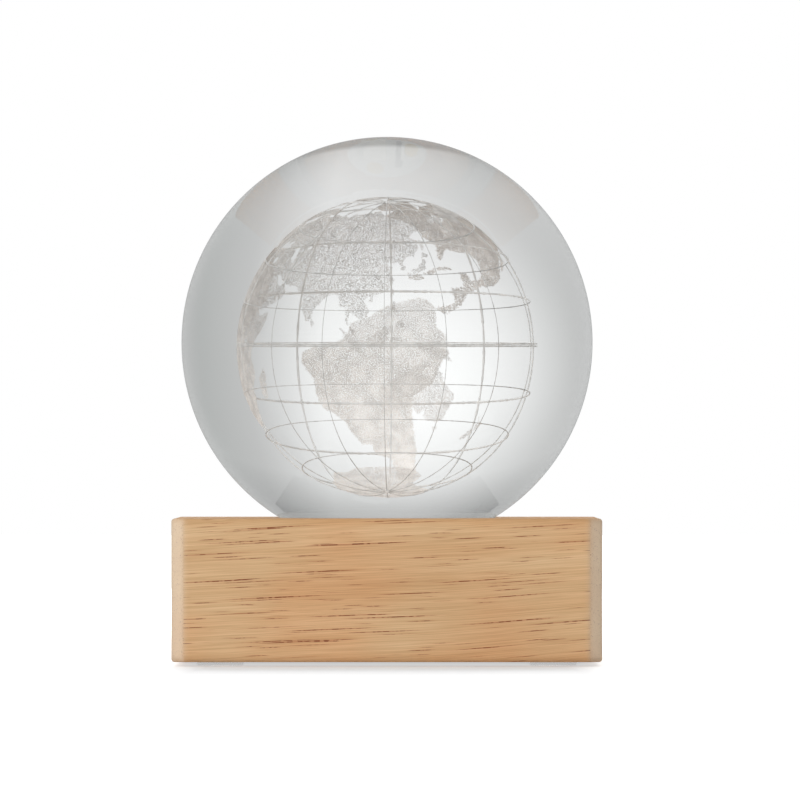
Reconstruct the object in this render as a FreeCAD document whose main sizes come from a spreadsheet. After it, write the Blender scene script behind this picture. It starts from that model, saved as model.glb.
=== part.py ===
import FreeCAD, Part
import math
import os
import Sketcher

# A solid glass ball with an engraved globe, on a wooden block that hides a battery lamp.
# Millimetres, +Z up, front towards -Y, origin on the table under the middle of the block.

doc = FreeCAD.newDocument("glass_ball_lamp")
sheet = doc.addObject("Spreadsheet::Sheet", "dims")

driving_sizes = [
    # glass ball and its seat
    ("ball_diameter", 80.0),
    ("ball_sink", 5.9),
    ("seat_gap", 0.2),
    ("ring_outer", 44.0),
    ("ring_inner", 36.0),
    ("ring_seat_depth", 4.0),
    ("ring_lip_drop", 0.3),
    # globe engraved in the glass
    ("globe_diameter", 40.0),
    ("line_width", 0.3),
    ("line_layer", 0.5),
    ("meridian_count", 12),
    ("parallel_step", 17.8),
    ("parallel_rows", 3),
    ("pole_gap", 4.0),
    # wooden block and its feet
    ("base_length", 82.6),
    ("base_depth", 82.6),
    ("base_height", 27.5),
    ("corner_bevel", 2.4),
    ("edge_round", 0.6),
    ("foot_diameter", 9.0),
    ("foot_height", 0.8),
    ("foot_inset", 9.3),
    ("foot_round", 0.3),
    # light board at the bottom of the seat
    ("board_diameter", 22.0),
    ("board_thickness", 1.0),
    ("tape_thickness", 0.3),
    ("tape_inset", 0.5),
    ("led_side", 5.0),
    ("led_height", 1.6),
    ("led_window", 4.0),
    ("led_window_depth", 0.3),
    ("led_count", 3),
    ("led_circle", 11.0),
    ("led_gap", 0.5),
    ("resistor_length", 3.2),
    ("resistor_width", 1.6),
    ("resistor_height", 0.6),
    # wires from the board to the switch bay
    ("wire_diameter", 1.2),
    ("wire_lift", 0.05),
    ("wire_bend", 1.5),
    ("wire_hole", 5.0),
    ("wire_hole_x", 14.5),
    ("wire_space", 1.5),
    ("wire_tail", 1.5),
    # cells and their contacts
    ("cell_diameter", 10.5),
    ("cell_length", 44.5),
    ("cell_count", 3),
    ("cell_spacing", 0.4),
    ("cell_side_play", 0.2),
    ("cell_end_play", 0.1),
    ("cell_lift", 0.15),
    ("cell_edge", 0.5),
    ("nub_diameter", 3.8),
    ("nub_length", 0.8),
    ("contact_thickness", 0.4),
    ("contact_side", 8.4),
    ("spring_wire", 0.6),
    ("spring_length", 5.2),
    ("spring_base", 7.0),
    ("spring_tip", 4.4),
    ("spring_turns", 3),
    # battery box let into the underside
    ("box_wall", 1.8),
    ("box_roof", 1.0),
    ("box_play", 0.3),
    ("flange_margin", 5.8),
    ("wood_rim", 3.3),
    ("flange_thickness", 1.6),
    ("flange_corner", 3.0),
    ("flange_play", 0.2),
    ("switch_bay", 11.0),
    ("divider_rib", 1.0),
    ("rib_rise", 2.2),
    # battery door with two tongues and a spring latch
    ("door_ledge", 0.8),
    ("door_play", 0.25),
    ("tongue_width", 6.0),
    ("tongue_tip_gap", 0.2),
    ("tongue_thickness", 1.0),
    ("tongue_root", 2.0),
    ("tongue_spacing", 30.0),
    ("tongue_play", 0.5),
    ("latch_width", 9.0),
    ("latch_length", 6.0),
    ("latch_slot", 0.8),
    ("lug_width", 6.0),
    ("lug_depth", 1.6),
    ("lug_height", 1.2),
    ("lug_play", 0.3),
    ("notch_width", 14.0),
    ("notch_reach", 3.4),
    ("groove_count", 4),
    ("groove_pitch", 2.0),
    ("groove_width", 0.8),
    ("groove_length", 14.0),
    ("groove_depth", 0.4),
    # slide switch
    ("switch_length", 13.0),
    ("switch_width", 6.6),
    ("switch_height", 5.5),
    ("switch_recess", 2.0),
    ("switch_dish_length", 14.0),
    ("switch_dish_width", 7.6),
    ("switch_plate", 1.4),
    ("slider_length", 4.4),
    ("slider_width", 3.4),
    ("slider_travel", 3.0),
    ("slider_play", 0.2),
    ("slider_shoulder", 0.6),
    ("slider_head", 2.4),
    ("slider_proud", 1.2),
    ("pin_side", 0.8),
    ("pin_length", 2.4),
    ("pin_pitch", 1.6),
    # screws that hold the box
    ("screw_diameter", 2.2),
    ("screw_head", 4.2),
    ("screw_length", 9.0),
    ("screw_inset_x", 8.0),
    ("screw_inset_y", 2.9),
    ("screw_play", 0.15),
    ("pilot_play", 0.05),
    ("screw_slot_width", 0.6),
    ("screw_slot_depth", 0.7),
]
for row, (alias, value) in enumerate(driving_sizes, start=1):
    sheet.set(f"A{row}", alias)
    sheet.set(f"B{row}", str(value))
    sheet.setAlias(f"B{row}", alias)
doc.recompute()


def d(alias):
    """The formula for one cell of the sheet."""
    return f"dims.{alias}"


probe = doc.addObject("App::FeaturePython", "probe")
probe.addProperty("App::PropertyFloat", "reading")


def number(formula):
    """The present value of a formula, read through a bound property."""
    probe.setExpression("reading", f"1.0 * ({formula})")
    probe.recompute()
    return probe.reading


def whole(alias):
    """The present value of a count."""
    return int(round(number(d(alias))))


# Levels and places that several pieces share, as formulas

wood_bottom = d("foot_height")
wood_top = f"({wood_bottom} + {d('base_height')})"
ball_radius = f"({d('ball_diameter')} / 2)"
ball_bottom = f"({wood_top} - {d('ball_sink')})"
ball_centre = f"({ball_bottom} + {ball_radius})"
shoulder = f"({wood_top} - {d('ring_seat_depth')})"

led_top = f"({ball_bottom} - {d('led_gap')})"
board_top = f"({led_top} - {d('led_height')})"
board_bottom = f"({board_top} - {d('board_thickness')})"
well_floor = f"({board_bottom} - {d('tape_thickness')})"

flange_top = f"({wood_bottom} + {d('flange_thickness')})"
cell_pitch = f"({d('cell_diameter')} + {d('cell_spacing')})"
cell_axis = f"({flange_top} + {d('cell_lift')} + {d('cell_diameter')} / 2)"
roof_inside = f"({cell_axis} + {d('cell_diameter')} / 2 + {d('cell_lift')})"
roof_outside = f"({roof_inside} + {d('box_roof')})"
pocket_top = f"({roof_outside} + {d('wire_space')})"

bay_length = (
    f"({d('cell_length')} + {d('spring_length')} + 2 * {d('contact_thickness')}"
    f" + 2 * {d('cell_end_play')})"
)
bay_width = (
    f"(({d('cell_count')} - 1) * {cell_pitch} + {d('cell_diameter')} + 2 * {d('cell_side_play')})"
)
box_length = f"({bay_length} + {d('switch_bay')} + 3 * {d('box_wall')})"
box_width = f"({bay_width} + 2 * {d('box_wall')})"
bay_x = f"(-{box_length} / 2 + {d('box_wall')} + {bay_length} / 2)"
switch_x = f"({box_length} / 2 - {d('box_wall')} - {d('switch_bay')} / 2)"
flange_length = f"({d('base_length')} - 2 * ({d('wood_rim')} + {d('flange_play')}))"
flange_width = f"({box_width} + 2 * {d('flange_margin')})"

door_length = f"({bay_length} + 2 * {d('door_ledge')})"
door_width = f"({bay_width} + 2 * {d('door_ledge')})"
door_edge = f"({door_width} / 2)"
switch_floor = f"({wood_bottom} + {d('switch_recess')} + {d('switch_plate')})"


# Small helpers that make bound features


def bind(thing, formulas):
    """Ties properties of an object to formulas."""
    for path, formula in formulas.items():
        thing.setExpression(path, formula)
    return thing


def new_body(label):
    body = doc.addObject("PartDesign::Body", label)
    body.Label = label
    return body


def new_sketch(body, name, x="0", y="0", z="0"):
    """A sketch on the body's XY plane, moved to x, y and z."""
    sketch = body.newObject("Sketcher::SketchObject", name)
    plane = [f for f in body.Origin.OriginFeatures if f.Role == "XY_Plane"][0]
    sketch.AttachmentSupport = [(plane, "")]
    sketch.MapMode = "FlatFace"
    offset = {"AttachmentOffset.Base.x": x, "AttachmentOffset.Base.y": y, "AttachmentOffset.Base.z": z}
    return bind(sketch, offset)


def rectangle(body, name, length, width, x="0", y="0", z="0"):
    """A rectangle centred on x and y, at height z."""
    sketch = new_sketch(body, name, x, y, z)
    half_x = number(length) / 2
    half_y = number(width) / 2
    corners = [
        FreeCAD.Vector(-half_x, -half_y, 0),
        FreeCAD.Vector(half_x, -half_y, 0),
        FreeCAD.Vector(half_x, half_y, 0),
        FreeCAD.Vector(-half_x, half_y, 0),
    ]
    for i in range(4):
        sketch.addGeometry(Part.LineSegment(corners[i], corners[(i + 1) % 4]))
    for i in range(4):
        sketch.addConstraint(Sketcher.Constraint("Coincident", i, 2, (i + 1) % 4, 1))
    for i, direction in enumerate(("Horizontal", "Vertical", "Horizontal", "Vertical")):
        sketch.addConstraint(Sketcher.Constraint(direction, i))
    sketch.addConstraint(Sketcher.Constraint("Symmetric", 0, 1, 1, 2, -1, 1))
    across = sketch.addConstraint(Sketcher.Constraint("DistanceX", 0, 1, 0, 2, 2 * half_x))
    along = sketch.addConstraint(Sketcher.Constraint("DistanceY", 1, 1, 1, 2, 2 * half_y))
    return bind(sketch, {f"Constraints[{across}]": length, f"Constraints[{along}]": width})


def circle(body, name, diameter, x="0", y="0", z="0"):
    """A circle centred on x and y, at height z."""
    sketch = new_sketch(body, name, x, y, z)
    start = Part.Circle(FreeCAD.Vector(0, 0, 0), FreeCAD.Vector(0, 0, 1), number(diameter) / 2)
    sketch.addGeometry(start)
    sketch.addConstraint(Sketcher.Constraint("Coincident", 0, 3, -1, 1))
    size = sketch.addConstraint(Sketcher.Constraint("Diameter", 0, number(diameter)))
    return bind(sketch, {f"Constraints[{size}]": diameter})


def extrude(body, kind, sketch, length, upwards):
    """A Pad or a Pocket of one sketch, up or down from its plane."""
    feature = body.newObject(f"PartDesign::{kind}", f"{sketch.Name}_{kind.lower()}")
    feature.Profile = sketch
    feature.setExpression("Length", length)
    feature.Reversed = upwards if kind == "Pocket" else not upwards
    doc.recompute()
    return feature


def pad(body, sketch, length):
    return extrude(body, "Pad", sketch, length, upwards=True)


def pocket_up(body, sketch, length):
    return extrude(body, "Pocket", sketch, length, upwards=True)


def pocket_down(body, sketch, length):
    return extrude(body, "Pocket", sketch, length, upwards=False)


def round_edges(body, radius, wanted, name):
    """Rounds those edges of the body's last feature for which wanted is true."""
    last = body.Tip
    names = [f"Edge{i + 1}" for i, edge in enumerate(last.Shape.Edges) if wanted(edge)]
    fillet = body.newObject("PartDesign::Fillet", name)
    fillet.Base = (last, names)
    fillet.setExpression("Radius", radius)
    doc.recompute()
    return fillet


def bevel_edges(body, size, wanted, name):
    """Bevels those edges of the body's last feature for which wanted is true."""
    last = body.Tip
    names = [f"Edge{i + 1}" for i, edge in enumerate(last.Shape.Edges) if wanted(edge)]
    chamfer = body.newObject("PartDesign::Chamfer", name)
    chamfer.Base = (last, names)
    chamfer.setExpression("Size", size)
    doc.recompute()
    return chamfer


def upright(edge):
    low, high = edge.BoundBox.ZMin, edge.BoundBox.ZMax
    return high - low > 0.9 * edge.Length


def in_plane(edge, level):
    return abs(edge.BoundBox.ZMin - level) < 1e-6 and abs(edge.BoundBox.ZMax - level) < 1e-6


def in_reach(edge, level):
    return edge.BoundBox.ZMax < level + 1e-6


def solid(kind, name, formulas, place=None):
    """A bound Part primitive."""
    thing = doc.addObject(f"Part::{kind}", name)
    if place is not None:
        thing.Placement = place
    return bind(thing, formulas)


def cylinder(name, diameter, height, x="0", y="0", z="0"):
    """An upright cylinder that stands on height z."""
    formulas = {"Radius": f"({diameter}) / 2", "Height": height}
    formulas.update({"Placement.Base.x": x, "Placement.Base.y": y, "Placement.Base.z": z})
    return solid("Cylinder", name, formulas)


def block(name, length, width, height, x="0", y="0", z="0"):
    """A box centred on x and y, standing on height z."""
    formulas = {"Length": length, "Width": width, "Height": height}
    formulas["Placement.Base.x"] = f"{x} - ({length}) / 2"
    formulas["Placement.Base.y"] = f"{y} - ({width}) / 2"
    formulas["Placement.Base.z"] = z
    return solid("Box", name, formulas)


def labelled(thing):
    thing.Label = thing.Name
    return thing


def compound(label, things):
    group = doc.addObject("Part::Compound", label)
    group.Label = label
    group.Links = things
    return group


def cut(label, base, tool):
    result = doc.addObject("Part::Cut", label)
    result.Label = label
    result.Base = base
    result.Tool = tool
    return result


def fuse(label, things):
    result = doc.addObject("Part::MultiFuse", label)
    result.Label = label
    result.Shapes = things
    return result


def shape_piece(label, shape):
    """A piece whose shape is worked out directly from the sheet's values."""
    piece = doc.addObject("Part::Feature", label)
    piece.Label = label
    piece.Shape = shape
    piece.Placement = FreeCAD.Placement()
    return piece


# Glass ball, with the globe's lines as fine hollows inside the glass


def line_ring(name, radius, middle, turn, sweep):
    """A square line of the engraving, bent to a ring or to part of one."""
    half = f"{d('line_width')} / 2"
    formulas = {"Height": d("line_width"), "Angle": sweep, "Placement.Base.z": middle}
    place = FreeCAD.Placement(FreeCAD.Vector(), turn)
    outside = solid("Cylinder", f"{name}_outside", {"Radius": f"{radius} + {half}", **formulas}, place)
    inside = solid("Cylinder", f"{name}_inside", {"Radius": f"{radius} - {half}", **formulas}, place)
    return cut(name, outside, inside)


def globe_lines():
    """Rings of latitude, and half rings of longitude just outside them."""
    lines = []
    ring_layer = f"({d('globe_diameter')} / 2 - {d('line_layer')})"
    rows = whole("parallel_rows")
    for row in range(-rows, rows + 1):
        angle = f"({row} * {d('parallel_step')} * 1 deg)"
        level = f"{ball_centre} + {ring_layer} * sin({angle}) - {d('line_width')} / 2"
        radius = f"{ring_layer} * cos({angle})"
        lines.append(line_ring(f"parallel_{row + rows}", radius, level, FreeCAD.Rotation(), "360 deg"))
    reach = 90 - number(d("pole_gap"))
    count = whole("meridian_count")
    stand = FreeCAD.Rotation(FreeCAD.Vector(1, 0, 0), 90)
    start = FreeCAD.Rotation(FreeCAD.Vector(0, 0, 1), -reach)
    sweep = f"(180 - 2 * {d('pole_gap')}) * 1 deg"
    for i in range(count):
        turn = FreeCAD.Rotation(FreeCAD.Vector(0, 0, 1), -90 + i * 360 / count)
        radius = f"{d('globe_diameter')} / 2"
        lines.append(line_ring(f"meridian_{i}", radius, ball_centre, turn * stand * start, sweep))
    return compound("globe_lines", lines)


def make_glass_ball():
    ball = solid("Sphere", "ball_blank", {"Radius": ball_radius, "Placement.Base.z": ball_centre})
    return cut("glass_ball", ball, globe_lines())


# Soft ring that the ball rests on


def make_seat_ring():
    height = f"{d('ring_seat_depth')} - {d('ring_lip_drop')}"
    outside = cylinder("ring_outside", d("ring_outer"), height, z=shoulder)
    hole = cylinder("ring_hole", d("ring_inner"), height, z=shoulder)
    hollow_radius = f"{ball_radius} + {d('seat_gap')}"
    hollow = solid("Sphere", "ring_hollow", {"Radius": hollow_radius, "Placement.Base.z": ball_centre})
    return cut("seat_ring", cut("ring_blank", outside, hole), hollow)


# Wooden block, turned out above for the light and milled out below for the batteries

screw_x = f"({flange_length} / 2 - {d('screw_inset_x')})"
screw_y = f"({flange_width} / 2 - {d('screw_inset_y')})"
corner_signs = [(-1, -1), (1, -1), (1, 1), (-1, 1)]


def make_wooden_base():
    body = new_body("wooden_base")
    plan = rectangle(body, "wood_plan", d("base_length"), d("base_depth"), z=wood_bottom)
    pad(body, plan, d("base_height"))
    bevel_edges(body, d("corner_bevel"), upright, "wood_corners")
    rims = (number(wood_bottom), number(wood_top))
    round_edges(body, d("edge_round"), lambda e: any(in_plane(e, r) for r in rims), "wood_rims")
    ring_seat = circle(body, "ring_seat", d("ring_outer"), z=wood_top)
    pocket_down(body, ring_seat, d("ring_seat_depth"))
    light_well = circle(body, "light_well", d("ring_inner"), z=shoulder)
    pocket_down(body, light_well, f"{shoulder} - {well_floor}")
    rebate_length = f"{flange_length} + 2 * {d('flange_play')}"
    rebate_width = f"{flange_width} + 2 * {d('flange_play')}"
    rebate = rectangle(body, "flange_rebate", rebate_length, rebate_width, z=wood_bottom)
    pocket_up(body, rebate, d("flange_thickness"))
    rebate_roof = number(flange_top)
    rebate_corner = f"{d('flange_corner')} + {d('flange_play')}"
    round_edges(body, rebate_corner, lambda e: upright(e) and in_reach(e, rebate_roof), "rebate_corners")
    pocket_length = f"{box_length} + 2 * {d('box_play')}"
    pocket_width = f"{box_width} + 2 * {d('box_play')}"
    box_pocket = rectangle(body, "box_pocket", pocket_length, pocket_width, z=flange_top)
    pocket_up(body, box_pocket, f"{pocket_top} - {flange_top}")
    wire_hole = circle(body, "wire_hole_plan", d("wire_hole"), x=d("wire_hole_x"), z=well_floor)
    pocket_down(body, wire_hole, f"{well_floor} - {pocket_top}")
    pilot = f"{d('screw_diameter')} + 2 * {d('pilot_play')}"
    for i, (sx, sy) in enumerate(corner_signs):
        hole = circle(body, f"pilot_{i}", pilot, x=f"{sx} * {screw_x}", y=f"{sy} * {screw_y}", z=flange_top)
        pocket_up(body, hole, f"{d('screw_length')} - {d('flange_thickness')}")
    return body


# Rubber feet under the block's corners


def make_rubber_feet():
    feet = []
    foot_x = f"({d('base_length')} / 2 - {d('foot_inset')})"
    foot_y = f"({d('base_depth')} / 2 - {d('foot_inset')})"
    for i, (sx, sy) in enumerate(corner_signs):
        place = (f"{sx} * {foot_x}", f"{sy} * {foot_y}")
        foot = cylinder(f"foot_blank_{i}", d("foot_diameter"), d("foot_height"), *place)
        doc.recompute()
        rounded = doc.addObject("Part::Fillet", f"foot_{i}")
        rounded.Base = foot
        radius = number(d("foot_round"))
        rounded.Edges = [
            (n + 1, radius, radius) for n, edge in enumerate(foot.Shape.Edges) if in_plane(edge, 0.0)
        ]
        feet.append(rounded)
    return compound("rubber_feet", feet)


# Light board: tape, board, light chips and their resistors


def around(radius, count, i, shift=0.0):
    """The x and y formulas of place i out of count on a circle, turned by shift steps."""
    angle = f"(({i} + {shift}) * 360 / {count} * 1 deg)"
    return f"({radius} * cos({angle}))", f"({radius} * sin({angle}))"


def make_board_tape():
    tape_diameter = f"{d('board_diameter')} - 2 * {d('tape_inset')}"
    return labelled(cylinder("board_tape", tape_diameter, d("tape_thickness"), z=well_floor))


def make_led_board():
    return labelled(cylinder("led_board", d("board_diameter"), d("board_thickness"), z=board_bottom))


led_radius = f"({d('led_circle')} / 2)"
led_turn = 0.5


def make_led_chips():
    chips = []
    count = whole("led_count")
    for i in range(count):
        x, y = around(led_radius, count, i, led_turn)
        case = block(f"led_case_{i}", d("led_side"), d("led_side"), d("led_height"), x, y, board_top)
        window_floor = f"{led_top} - {d('led_window_depth')}"
        window = cylinder(f"led_window_{i}", d("led_window"), d("led_window_depth"), x, y, window_floor)
        chips.append(cut(f"led_chip_{i}", case, window))
    return compound("led_chips", chips)


def make_chip_resistors():
    chips = []
    count = whole("led_count")
    for i in range(count):
        x, y = around(led_radius, count, i, led_turn + 0.5)
        size = (d("resistor_width"), d("resistor_length"), d("resistor_height"))
        chips.append(block(f"resistor_{i}", *size, x, y, board_top))
    return compound("chip_resistors", chips)


# Wires from the board down through the block to the switch


def wire_path(points, bend):
    """Straight runs through the points, joined by arcs of one bend radius."""
    edges = []
    start = points[0]
    for before, corner, after in zip(points, points[1:], points[2:]):
        inwards = (before - corner).normalize()
        outwards = (after - corner).normalize()
        half_turn = (math.pi - inwards.getAngle(outwards)) / 2
        back = bend * math.tan(half_turn)
        first = corner + inwards * back
        last = corner + outwards * back
        middle_way = (inwards + outwards).normalize()
        middle = corner + middle_way * (bend / math.cos(half_turn) - bend)
        edges.append(Part.LineSegment(start, first).toShape())
        edges.append(Part.Arc(first, middle, last).toShape())
        start = last
    edges.append(Part.LineSegment(start, points[-1]).toShape())
    return Part.Wire(edges)


def make_wire(label, side):
    radius = number(d("wire_diameter")) / 2
    y = side * number(d("pin_pitch"))
    board_level = number(board_top) + number(d("wire_lift")) + radius
    ceiling_level = (number(roof_outside) + number(pocket_top)) / 2
    pad_x = number(d("board_diameter")) / 2 - number(d("wire_tail"))
    hole_x = number(d("wire_hole_x"))
    bay = number(switch_x)
    end_level = number(switch_floor) + number(d("switch_height")) + number(d("pin_length"))
    points = [
        FreeCAD.Vector(pad_x, y, board_level),
        FreeCAD.Vector(hole_x, y, board_level),
        FreeCAD.Vector(hole_x, y, ceiling_level),
        FreeCAD.Vector(bay, y, ceiling_level),
        FreeCAD.Vector(bay, y, end_level),
    ]
    path = wire_path(points, number(d("wire_bend")))
    section = Part.Wire(Part.Circle(points[0], FreeCAD.Vector(1, 0, 0), radius).toShape())
    return shape_piece(label, path.makePipeShell([section], True, False))


# Battery box


def make_battery_box():
    body = new_body("battery_box")
    flange = rectangle(body, "flange_plan", flange_length, flange_width, z=wood_bottom)
    pad(body, flange, d("flange_thickness"))
    round_edges(body, d("flange_corner"), upright, "flange_corners")
    tray = rectangle(body, "tray_plan", box_length, box_width, z=flange_top)
    pad(body, tray, f"{roof_outside} - {flange_top}")
    opening_length = f"{door_length} + 2 * {d('door_play')}"
    opening_width = f"{door_width} + 2 * {d('door_play')}"
    opening = rectangle(body, "door_opening", opening_length, opening_width, bay_x, z=wood_bottom)
    pocket_up(body, opening, d("flange_thickness"))
    bay = rectangle(body, "cell_bay", bay_length, bay_width, bay_x, z=flange_top)
    pocket_up(body, bay, f"{roof_inside} - {flange_top}")
    add_cell_ribs(body)
    cut_switch_bay(body)
    cut_door_slots(body)
    for i, (sx, sy) in enumerate(corner_signs):
        place = (f"{sx} * {screw_x}", f"{sy} * {screw_y}")
        cut_screw_hole(body, i, *place)
    return body


def add_cell_ribs(body):
    """Low ribs on the tray's roof that part the cells."""
    gaps = whole("cell_count") - 1
    for i in range(gaps):
        y = f"({i} - ({d('cell_count')} - 2) / 2) * {cell_pitch}"
        rib_length = f"{d('cell_length')} / 2"
        top = f"{roof_inside} - {d('rib_rise')}"
        rib = rectangle(body, f"cell_rib_{i}", rib_length, d("divider_rib"), bay_x, y, top)
        pad(body, rib, d("rib_rise"))


def cut_switch_bay(body):
    """A closed bay for the switch, with a finger dish below and wire holes above."""
    bay = rectangle(body, "switch_room", d("switch_bay"), bay_width, switch_x, z=switch_floor)
    pocket_up(body, bay, f"{roof_inside} - {switch_floor}")
    dish_size = (d("switch_dish_width"), d("switch_dish_length"))
    dish = rectangle(body, "switch_dish", *dish_size, switch_x, z=wood_bottom)
    pocket_up(body, dish, d("switch_recess"))
    slot_width = f"{d('slider_width')} + 2 * {d('slider_play')}"
    slot_length = f"{d('slider_length')} + {d('slider_travel')} + 2 * {d('slider_play')}"
    dish_floor = f"{wood_bottom} + {d('switch_recess')}"
    slot = rectangle(body, "slider_slot", slot_width, slot_length, switch_x, z=dish_floor)
    pocket_up(body, slot, d("switch_plate"))
    outlet = circle(body, "wire_outlet", d("wire_hole"), switch_x, z=roof_inside)
    pocket_up(body, outlet, d("box_roof"))


def cut_door_slots(body):
    """Slots for the door's tongues, and the finger notch and window for its latch."""
    slot_width = f"{d('tongue_width')} + 2 * {d('tongue_play')}"
    slot_height = f"{d('tongue_thickness')} + 2 * {d('tongue_play')}"
    slot_y = f"({bay_width} / 2 + {d('box_wall')} / 2)"
    for side in (-1, 1):
        x = f"{bay_x} + {side} * {d('tongue_spacing')} / 2"
        name = "tongue_slot_left" if side < 0 else "tongue_slot_right"
        slot = rectangle(body, name, slot_width, d("box_wall"), x, slot_y, flange_top)
        pocket_up(body, slot, slot_height)
    notch_y = f"-({door_edge} + {d('notch_reach')} / 2)"
    notch = rectangle(body, "finger_notch", d("notch_width"), d("notch_reach"), bay_x, notch_y, wood_bottom)
    pocket_up(body, notch, d("flange_thickness"))
    window_width = f"{d('lug_width')} + 2 * {d('lug_play')}"
    window_y = f"-({bay_width} / 2 + {d('box_wall')} / 2)"
    window = rectangle(body, "lug_window", window_width, d("box_wall"), bay_x, window_y, flange_top)
    pocket_up(body, window, f"{d('lug_height')} + {d('lug_play')}")


def cut_screw_hole(body, i, x, y):
    hole_diameter = f"{d('screw_diameter')} + 2 * {d('screw_play')}"
    hole = circle(body, f"screw_hole_{i}", hole_diameter, x, y, wood_bottom)
    pocket_up(body, hole, d("flange_thickness"))
    head_depth = f"({d('screw_head')} - {d('screw_diameter')}) / 2"
    seat = circle(body, f"screw_seat_{i}", f"{d('screw_head')} + 2 * {d('screw_play')}", x, y, wood_bottom)
    sink = pocket_up(body, seat, head_depth)
    sink.TaperAngle = -45
    doc.recompute()


# Battery door: flush plate, two tongues at the back and a spring latch at the front


def make_battery_door():
    body = new_body("battery_door")
    plate = rectangle(body, "door_plan", door_length, door_width, bay_x, z=wood_bottom)
    pad(body, plate, d("flange_thickness"))
    tongue_end = f"({box_width} / 2 - {d('tongue_tip_gap')})"
    tongue_start = f"({door_edge} - {d('tongue_root')})"
    tongue_size = (d("tongue_width"), f"{tongue_end} - {tongue_start}")
    tongue_y = f"({tongue_end} + {tongue_start}) / 2"
    for side in (-1, 1):
        x = f"{bay_x} + {side} * {d('tongue_spacing')} / 2"
        name = "tongue_left" if side < 0 else "tongue_right"
        tongue = rectangle(body, name, *tongue_size, x, tongue_y, flange_top)
        pad(body, tongue, d("tongue_thickness"))
    cut_latch_leaf(body)
    cut_finger_grooves(body)
    return body


def cut_latch_leaf(body):
    """Two slots free a springy leaf at the front edge, and a lug on it catches in the tray's wall."""
    slot_x = f"({d('latch_width')} + {d('latch_slot')}) / 2"
    slot_y = f"-({door_edge} - {d('latch_length')} / 2)"
    for side in (-1, 1):
        name = "latch_slot_left" if side < 0 else "latch_slot_right"
        x = f"{bay_x} + {side} * {slot_x}"
        slot = rectangle(body, name, d("latch_slot"), d("latch_length"), x, slot_y, wood_bottom)
        pocket_up(body, slot, d("flange_thickness"))
    lug_y = f"-({door_edge} - {d('lug_depth')} / 2)"
    lug = rectangle(body, "latch_lug", d("lug_width"), d("lug_depth"), bay_x, lug_y, flange_top)
    pad(body, lug, d("lug_height"))


def cut_finger_grooves(body):
    """Shallow grooves behind the latch that give a finger its grip."""
    for i in range(whole("groove_count")):
        y = f"-({door_edge} - {d('latch_length')} - ({i} + 1) * {d('groove_pitch')})"
        groove_size = (d("groove_length"), d("groove_width"))
        groove = rectangle(body, f"finger_groove_{i}", *groove_size, bay_x, y, wood_bottom)
        pocket_up(body, groove, d("groove_depth"))


# Cells lie side by side, with every second one turned round

bay_left = f"({bay_x} - {bay_length} / 2)"
bay_right = f"({bay_x} + {bay_length} / 2)"


def cell_y(i):
    return f"(({i} - ({d('cell_count')} - 1) / 2) * {cell_pitch})"


def lying(name, diameter, length, x, y, towards):
    """A cylinder along X on the cells' level, from x towards +X (1) or -X (-1)."""
    turn = FreeCAD.Rotation(FreeCAD.Vector(0, 1, 0), 90 * towards)
    formulas = {"Radius": f"({diameter}) / 2", "Height": length}
    formulas.update({"Placement.Base.x": x, "Placement.Base.y": y, "Placement.Base.z": cell_axis})
    return solid("Cylinder", name, formulas, FreeCAD.Placement(FreeCAD.Vector(), turn))


def make_cell(i):
    """One cell: the positive nub faces -X on even places and +X on odd ones."""
    towards = 1 if i % 2 == 0 else -1
    wall = bay_left if towards > 0 else bay_right
    nub_end = f"({wall} + {towards} * ({d('contact_thickness')} + {d('cell_end_play')}))"
    can_start = f"({nub_end} + {towards} * {d('nub_length')})"
    can_length = f"{d('cell_length')} - {d('nub_length')}"
    can = lying(f"cell_can_{i}", d("cell_diameter"), can_length, can_start, cell_y(i), towards)
    doc.recompute()
    rolled = doc.addObject("Part::Fillet", f"cell_rolled_{i}")
    rolled.Base = can
    radius = number(d("cell_edge"))
    rims = [n + 1 for n, edge in enumerate(can.Shape.Edges) if edge.Curve.TypeId == "Part::GeomCircle"]
    rolled.Edges = [(n, radius, radius) for n in rims]
    nub = lying(f"cell_nub_{i}", d("nub_diameter"), d("nub_length"), nub_end, cell_y(i), towards)
    return fuse(f"aaa_cell_{i + 1}", [rolled, nub])


# Contact plates on the tray's end walls, each serving one cell or joining two


def contact_plate(name, wall, towards, first, last):
    """A plate against one end wall, from cell first to cell last."""
    width = f"({d('contact_side')} + {last - first} * {cell_pitch})"
    x = f"({wall} + {towards} * {d('contact_thickness')} / 2)"
    y = f"(({cell_y(first)} + {cell_y(last)}) / 2)"
    z = f"({cell_axis} - {d('contact_side')} / 2)"
    return block(name, d("contact_thickness"), width, d("contact_side"), x, y, z)


def make_contact_plates():
    plates = []
    count = whole("cell_count")
    for side, wall, towards, first_pair in (("left", bay_left, 1, 1), ("right", bay_right, -1, 0)):
        groups = [(0, 0)] if first_pair else []
        i = first_pair
        while i < count:
            last = min(i + 1, count - 1)
            groups.append((i, last))
            i += 2
        for first, last in groups:
            plates.append(contact_plate(f"plate_{side}_{first}", wall, towards, first, last))
    return compound("contact_plates", plates)


# Conical springs that press each cell's flat end


def biarc(p0, t0, p1, t1):
    """Two arcs that leave p0 along t0, meet smoothly, and reach p1 along t1."""
    v = p1 - p0
    t = t0 + t1
    spread = 2 * (1 - t0.dot(t1))
    reach = (-v.dot(t) + math.sqrt(v.dot(t) ** 2 + spread * v.dot(v))) / spread
    joint = (p0 + t0 * reach + p1 - t1 * reach) * 0.5
    return [arc_from(p0, t0, joint), arc_from(p1, t1 * -1, joint)]


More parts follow.
